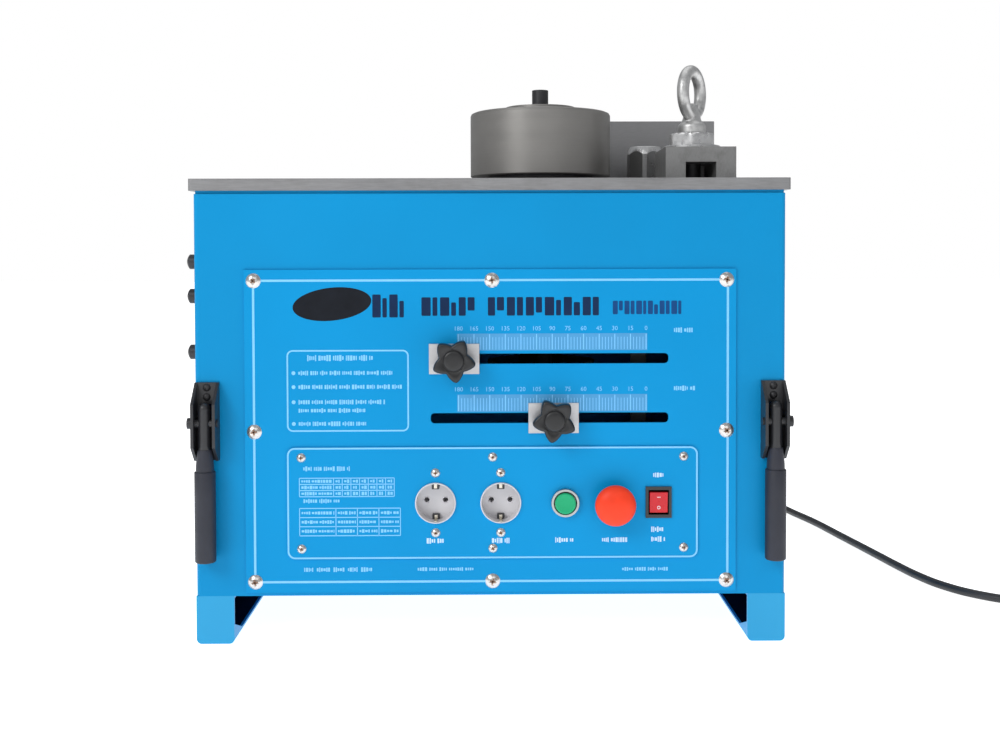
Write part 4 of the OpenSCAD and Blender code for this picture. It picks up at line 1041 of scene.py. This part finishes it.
PLUG = (742.0, -26.0, 18.5)
plug_shape = [       # the ribbed sleeve, then the body
    (0, 0.0), (5.6, 0.0), (6.2, 0.6), (6.4, 3.0), (5.7, 3.8), (5.7, 5.0), (6.8, 5.8), (6.9, 8.0),
    (6.2, 8.8), (6.2, 10.0), (7.4, 10.8), (7.6, 13.0), (6.9, 13.8), (6.9, 15.0), (8.1, 16.0), (8.5, 20.0),
    (11.0, 25.0), (14.6, 29.4), (17.0, 33.6), (18.2, 38.0), (18.4, 42.0), (18.4, 61.0), (17.9, 63.4),
    (16.6, 64.0), (0, 64.0)]
plug = bmesh.new()
lathe(plug, plug_shape, PLUG, "y", 64)
plug_body = from_bmesh(plug, "plug_body", "black_plastic")
sharp_shading(plug_body, 50)
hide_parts("plug")
pins = bmesh.new()
for side in PIN_OFFSETS:
    at = (PLUG[0] + side, PLUG[1], PLUG[2])
    lathe(pins, [(2.4, 63.5), (2.4, 81.0), (1.8, 82.6), (0.0, 83.0)], at, "y", 28)
from_bmesh(pins, "plug_pins", "bezel")
strips = bmesh.new()
for up in (-1, 1):
    low, high = either_side(PLUG[2], up, 17.2, 18.35)
    add_prism(strips, rect(PLUG[0] - 3.0, low, PLUG[0] + 3.0, high), PLUG[1] + 46.0, PLUG[1] + 64.15)
from_bmesh(strips, "plug_earth_strips", "clip", smooth=False)

# a flat tie round the turns of the coil
TIE_ANGLE = math.radians(105)
tie = bmesh.new()
loops = []
for side in (-3.0, 3.0):
    for thick in (0.0, 1.1):
        loop = []
        for radius, height in rounded(39.2 - thick, 0.1 - thick, 71.0 + thick, 20.4 + thick, 4.5, 6):
            x = COIL[0] + radius * math.cos(TIE_ANGLE) - side * math.sin(TIE_ANGLE)
            y = COIL[1] + radius * math.sin(TIE_ANGLE) + side * math.cos(TIE_ANGLE)
            loop.append(tie.verts.new(mm(x, y, max(0.02 if thick else 0.12, height))))
        loops.append(loop)
inner_low, outer_low, inner_high, outer_high = loops
round_tie = (inner_low, outer_low, outer_high, inner_high, inner_low)
for first, second in zip(round_tie, round_tie[1:]):
    join_rings(tie, first, second)
coil_tie = from_bmesh(tie, "coil_tie", "black_plastic")
sharp_shading(coil_tie, 40)

# ribs on the tapered sleeve of the gland
ribs = bmesh.new()
for k in range(6):
    y = 291.0 + 6.4 * k
    r = 8.0 - 1.8 * (y - 285.0) / 45.0
    rib = [(r - 0.4, y - 1.7), (r + 0.55, y - 1.1), (r + 0.75, y), (r + 0.55, y + 1.1), (r - 0.4, y + 1.7)]
    lathe(ribs, rib, (200.0, 0.0, 100.0), "y", 40)
from_bmesh(ribs, "sleeve_ribs", "black_plastic")


# ---- Floor and light ----

floor_mesh = bpy.data.meshes.new("floor")
half = 14            # metres
corners = [(-half, -half, 0), (half, -half, 0), (half, half, 0), (-half, half, 0)]
floor_mesh.from_pydata(corners, [], [(0, 1, 2, 3)])
floor = bpy.data.objects.new("floor", floor_mesh)
floor.location.z = -0.0006
scene.collection.objects.link(floor)
floor_mat, floor_tree, floor_shader = new_material("pale_floor")
floor_shader.inputs["Roughness"].default_value = 0.8
floor_shader.inputs["Specular IOR Level"].default_value = 0.1
floor_shader.inputs["Emission Color"].default_value = (1, 1, 1, 1)
floor_shader.inputs["Emission Strength"].default_value = 0.95
clouds = noise(floor_tree, object_coords(floor_tree), 2.0)
floor_colour = blend_colour(floor_tree, clouds, (0.86, 0.86, 0.86), (0.9, 0.9, 0.9))
floor_tree.links.new(floor_colour, floor_shader.inputs["Base Color"])
floor_mesh.materials.append(floor_mat)
floor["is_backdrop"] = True

world = bpy.data.worlds.new("studio")
scene.world = world
world.use_nodes = True
wt = world.node_tree   # the camera sees white, and everything else is lit by a dimmer sky
wt.nodes.clear()
w_out = wt.nodes.new("ShaderNodeOutputWorld")
lit = wt.nodes.new("ShaderNodeBackground")
seen = wt.nodes.new("ShaderNodeBackground")
pick = wt.nodes.new("ShaderNodeMixShader")
path = wt.nodes.new("ShaderNodeLightPath")
lit.inputs["Color"].default_value = (0.95, 0.97, 1.0, 1)
lit.inputs["Strength"].default_value = 0.36
seen.inputs["Color"].default_value = (1, 1, 1, 1)
seen.inputs["Strength"].default_value = 1.0
wt.links.new(path.outputs["Is Camera Ray"], pick.inputs[0])
wt.links.new(lit.outputs[0], pick.inputs[1])
wt.links.new(seen.outputs[0], pick.inputs[2])
wt.links.new(pick.outputs[0], w_out.inputs["Surface"])


def softbox(name, place, aim, size, power):
    """A white rectangular light at a place, turned to its aim."""
    data = bpy.data.lights.new(name, "AREA")
    data.shape = "RECTANGLE"
    data.size, data.size_y = size
    data.energy = power
    o = bpy.data.objects.new(name, data)
    o.location = place
    o.rotation_euler = (Vector(aim) - Vector(place)).to_track_quat("-Z", "Y").to_euler()
    scene.collection.objects.link(o)


softbox("key", (-2.0, -2.4, 2.1), (0, 0, 0.2), (1.4, 1.4), 46)
softbox("front_fill", (0.4, -3.1, 2.2), (0, 0, 0.1), (2.4, 1.2), 12)
softbox("top", (0.2, 0.5, 2.8), (0, 0, 0.4), (2.4, 2.4), 17)

scene.view_settings.view_transform = "Standard"
scene.view_settings.look = "None"

low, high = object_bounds()
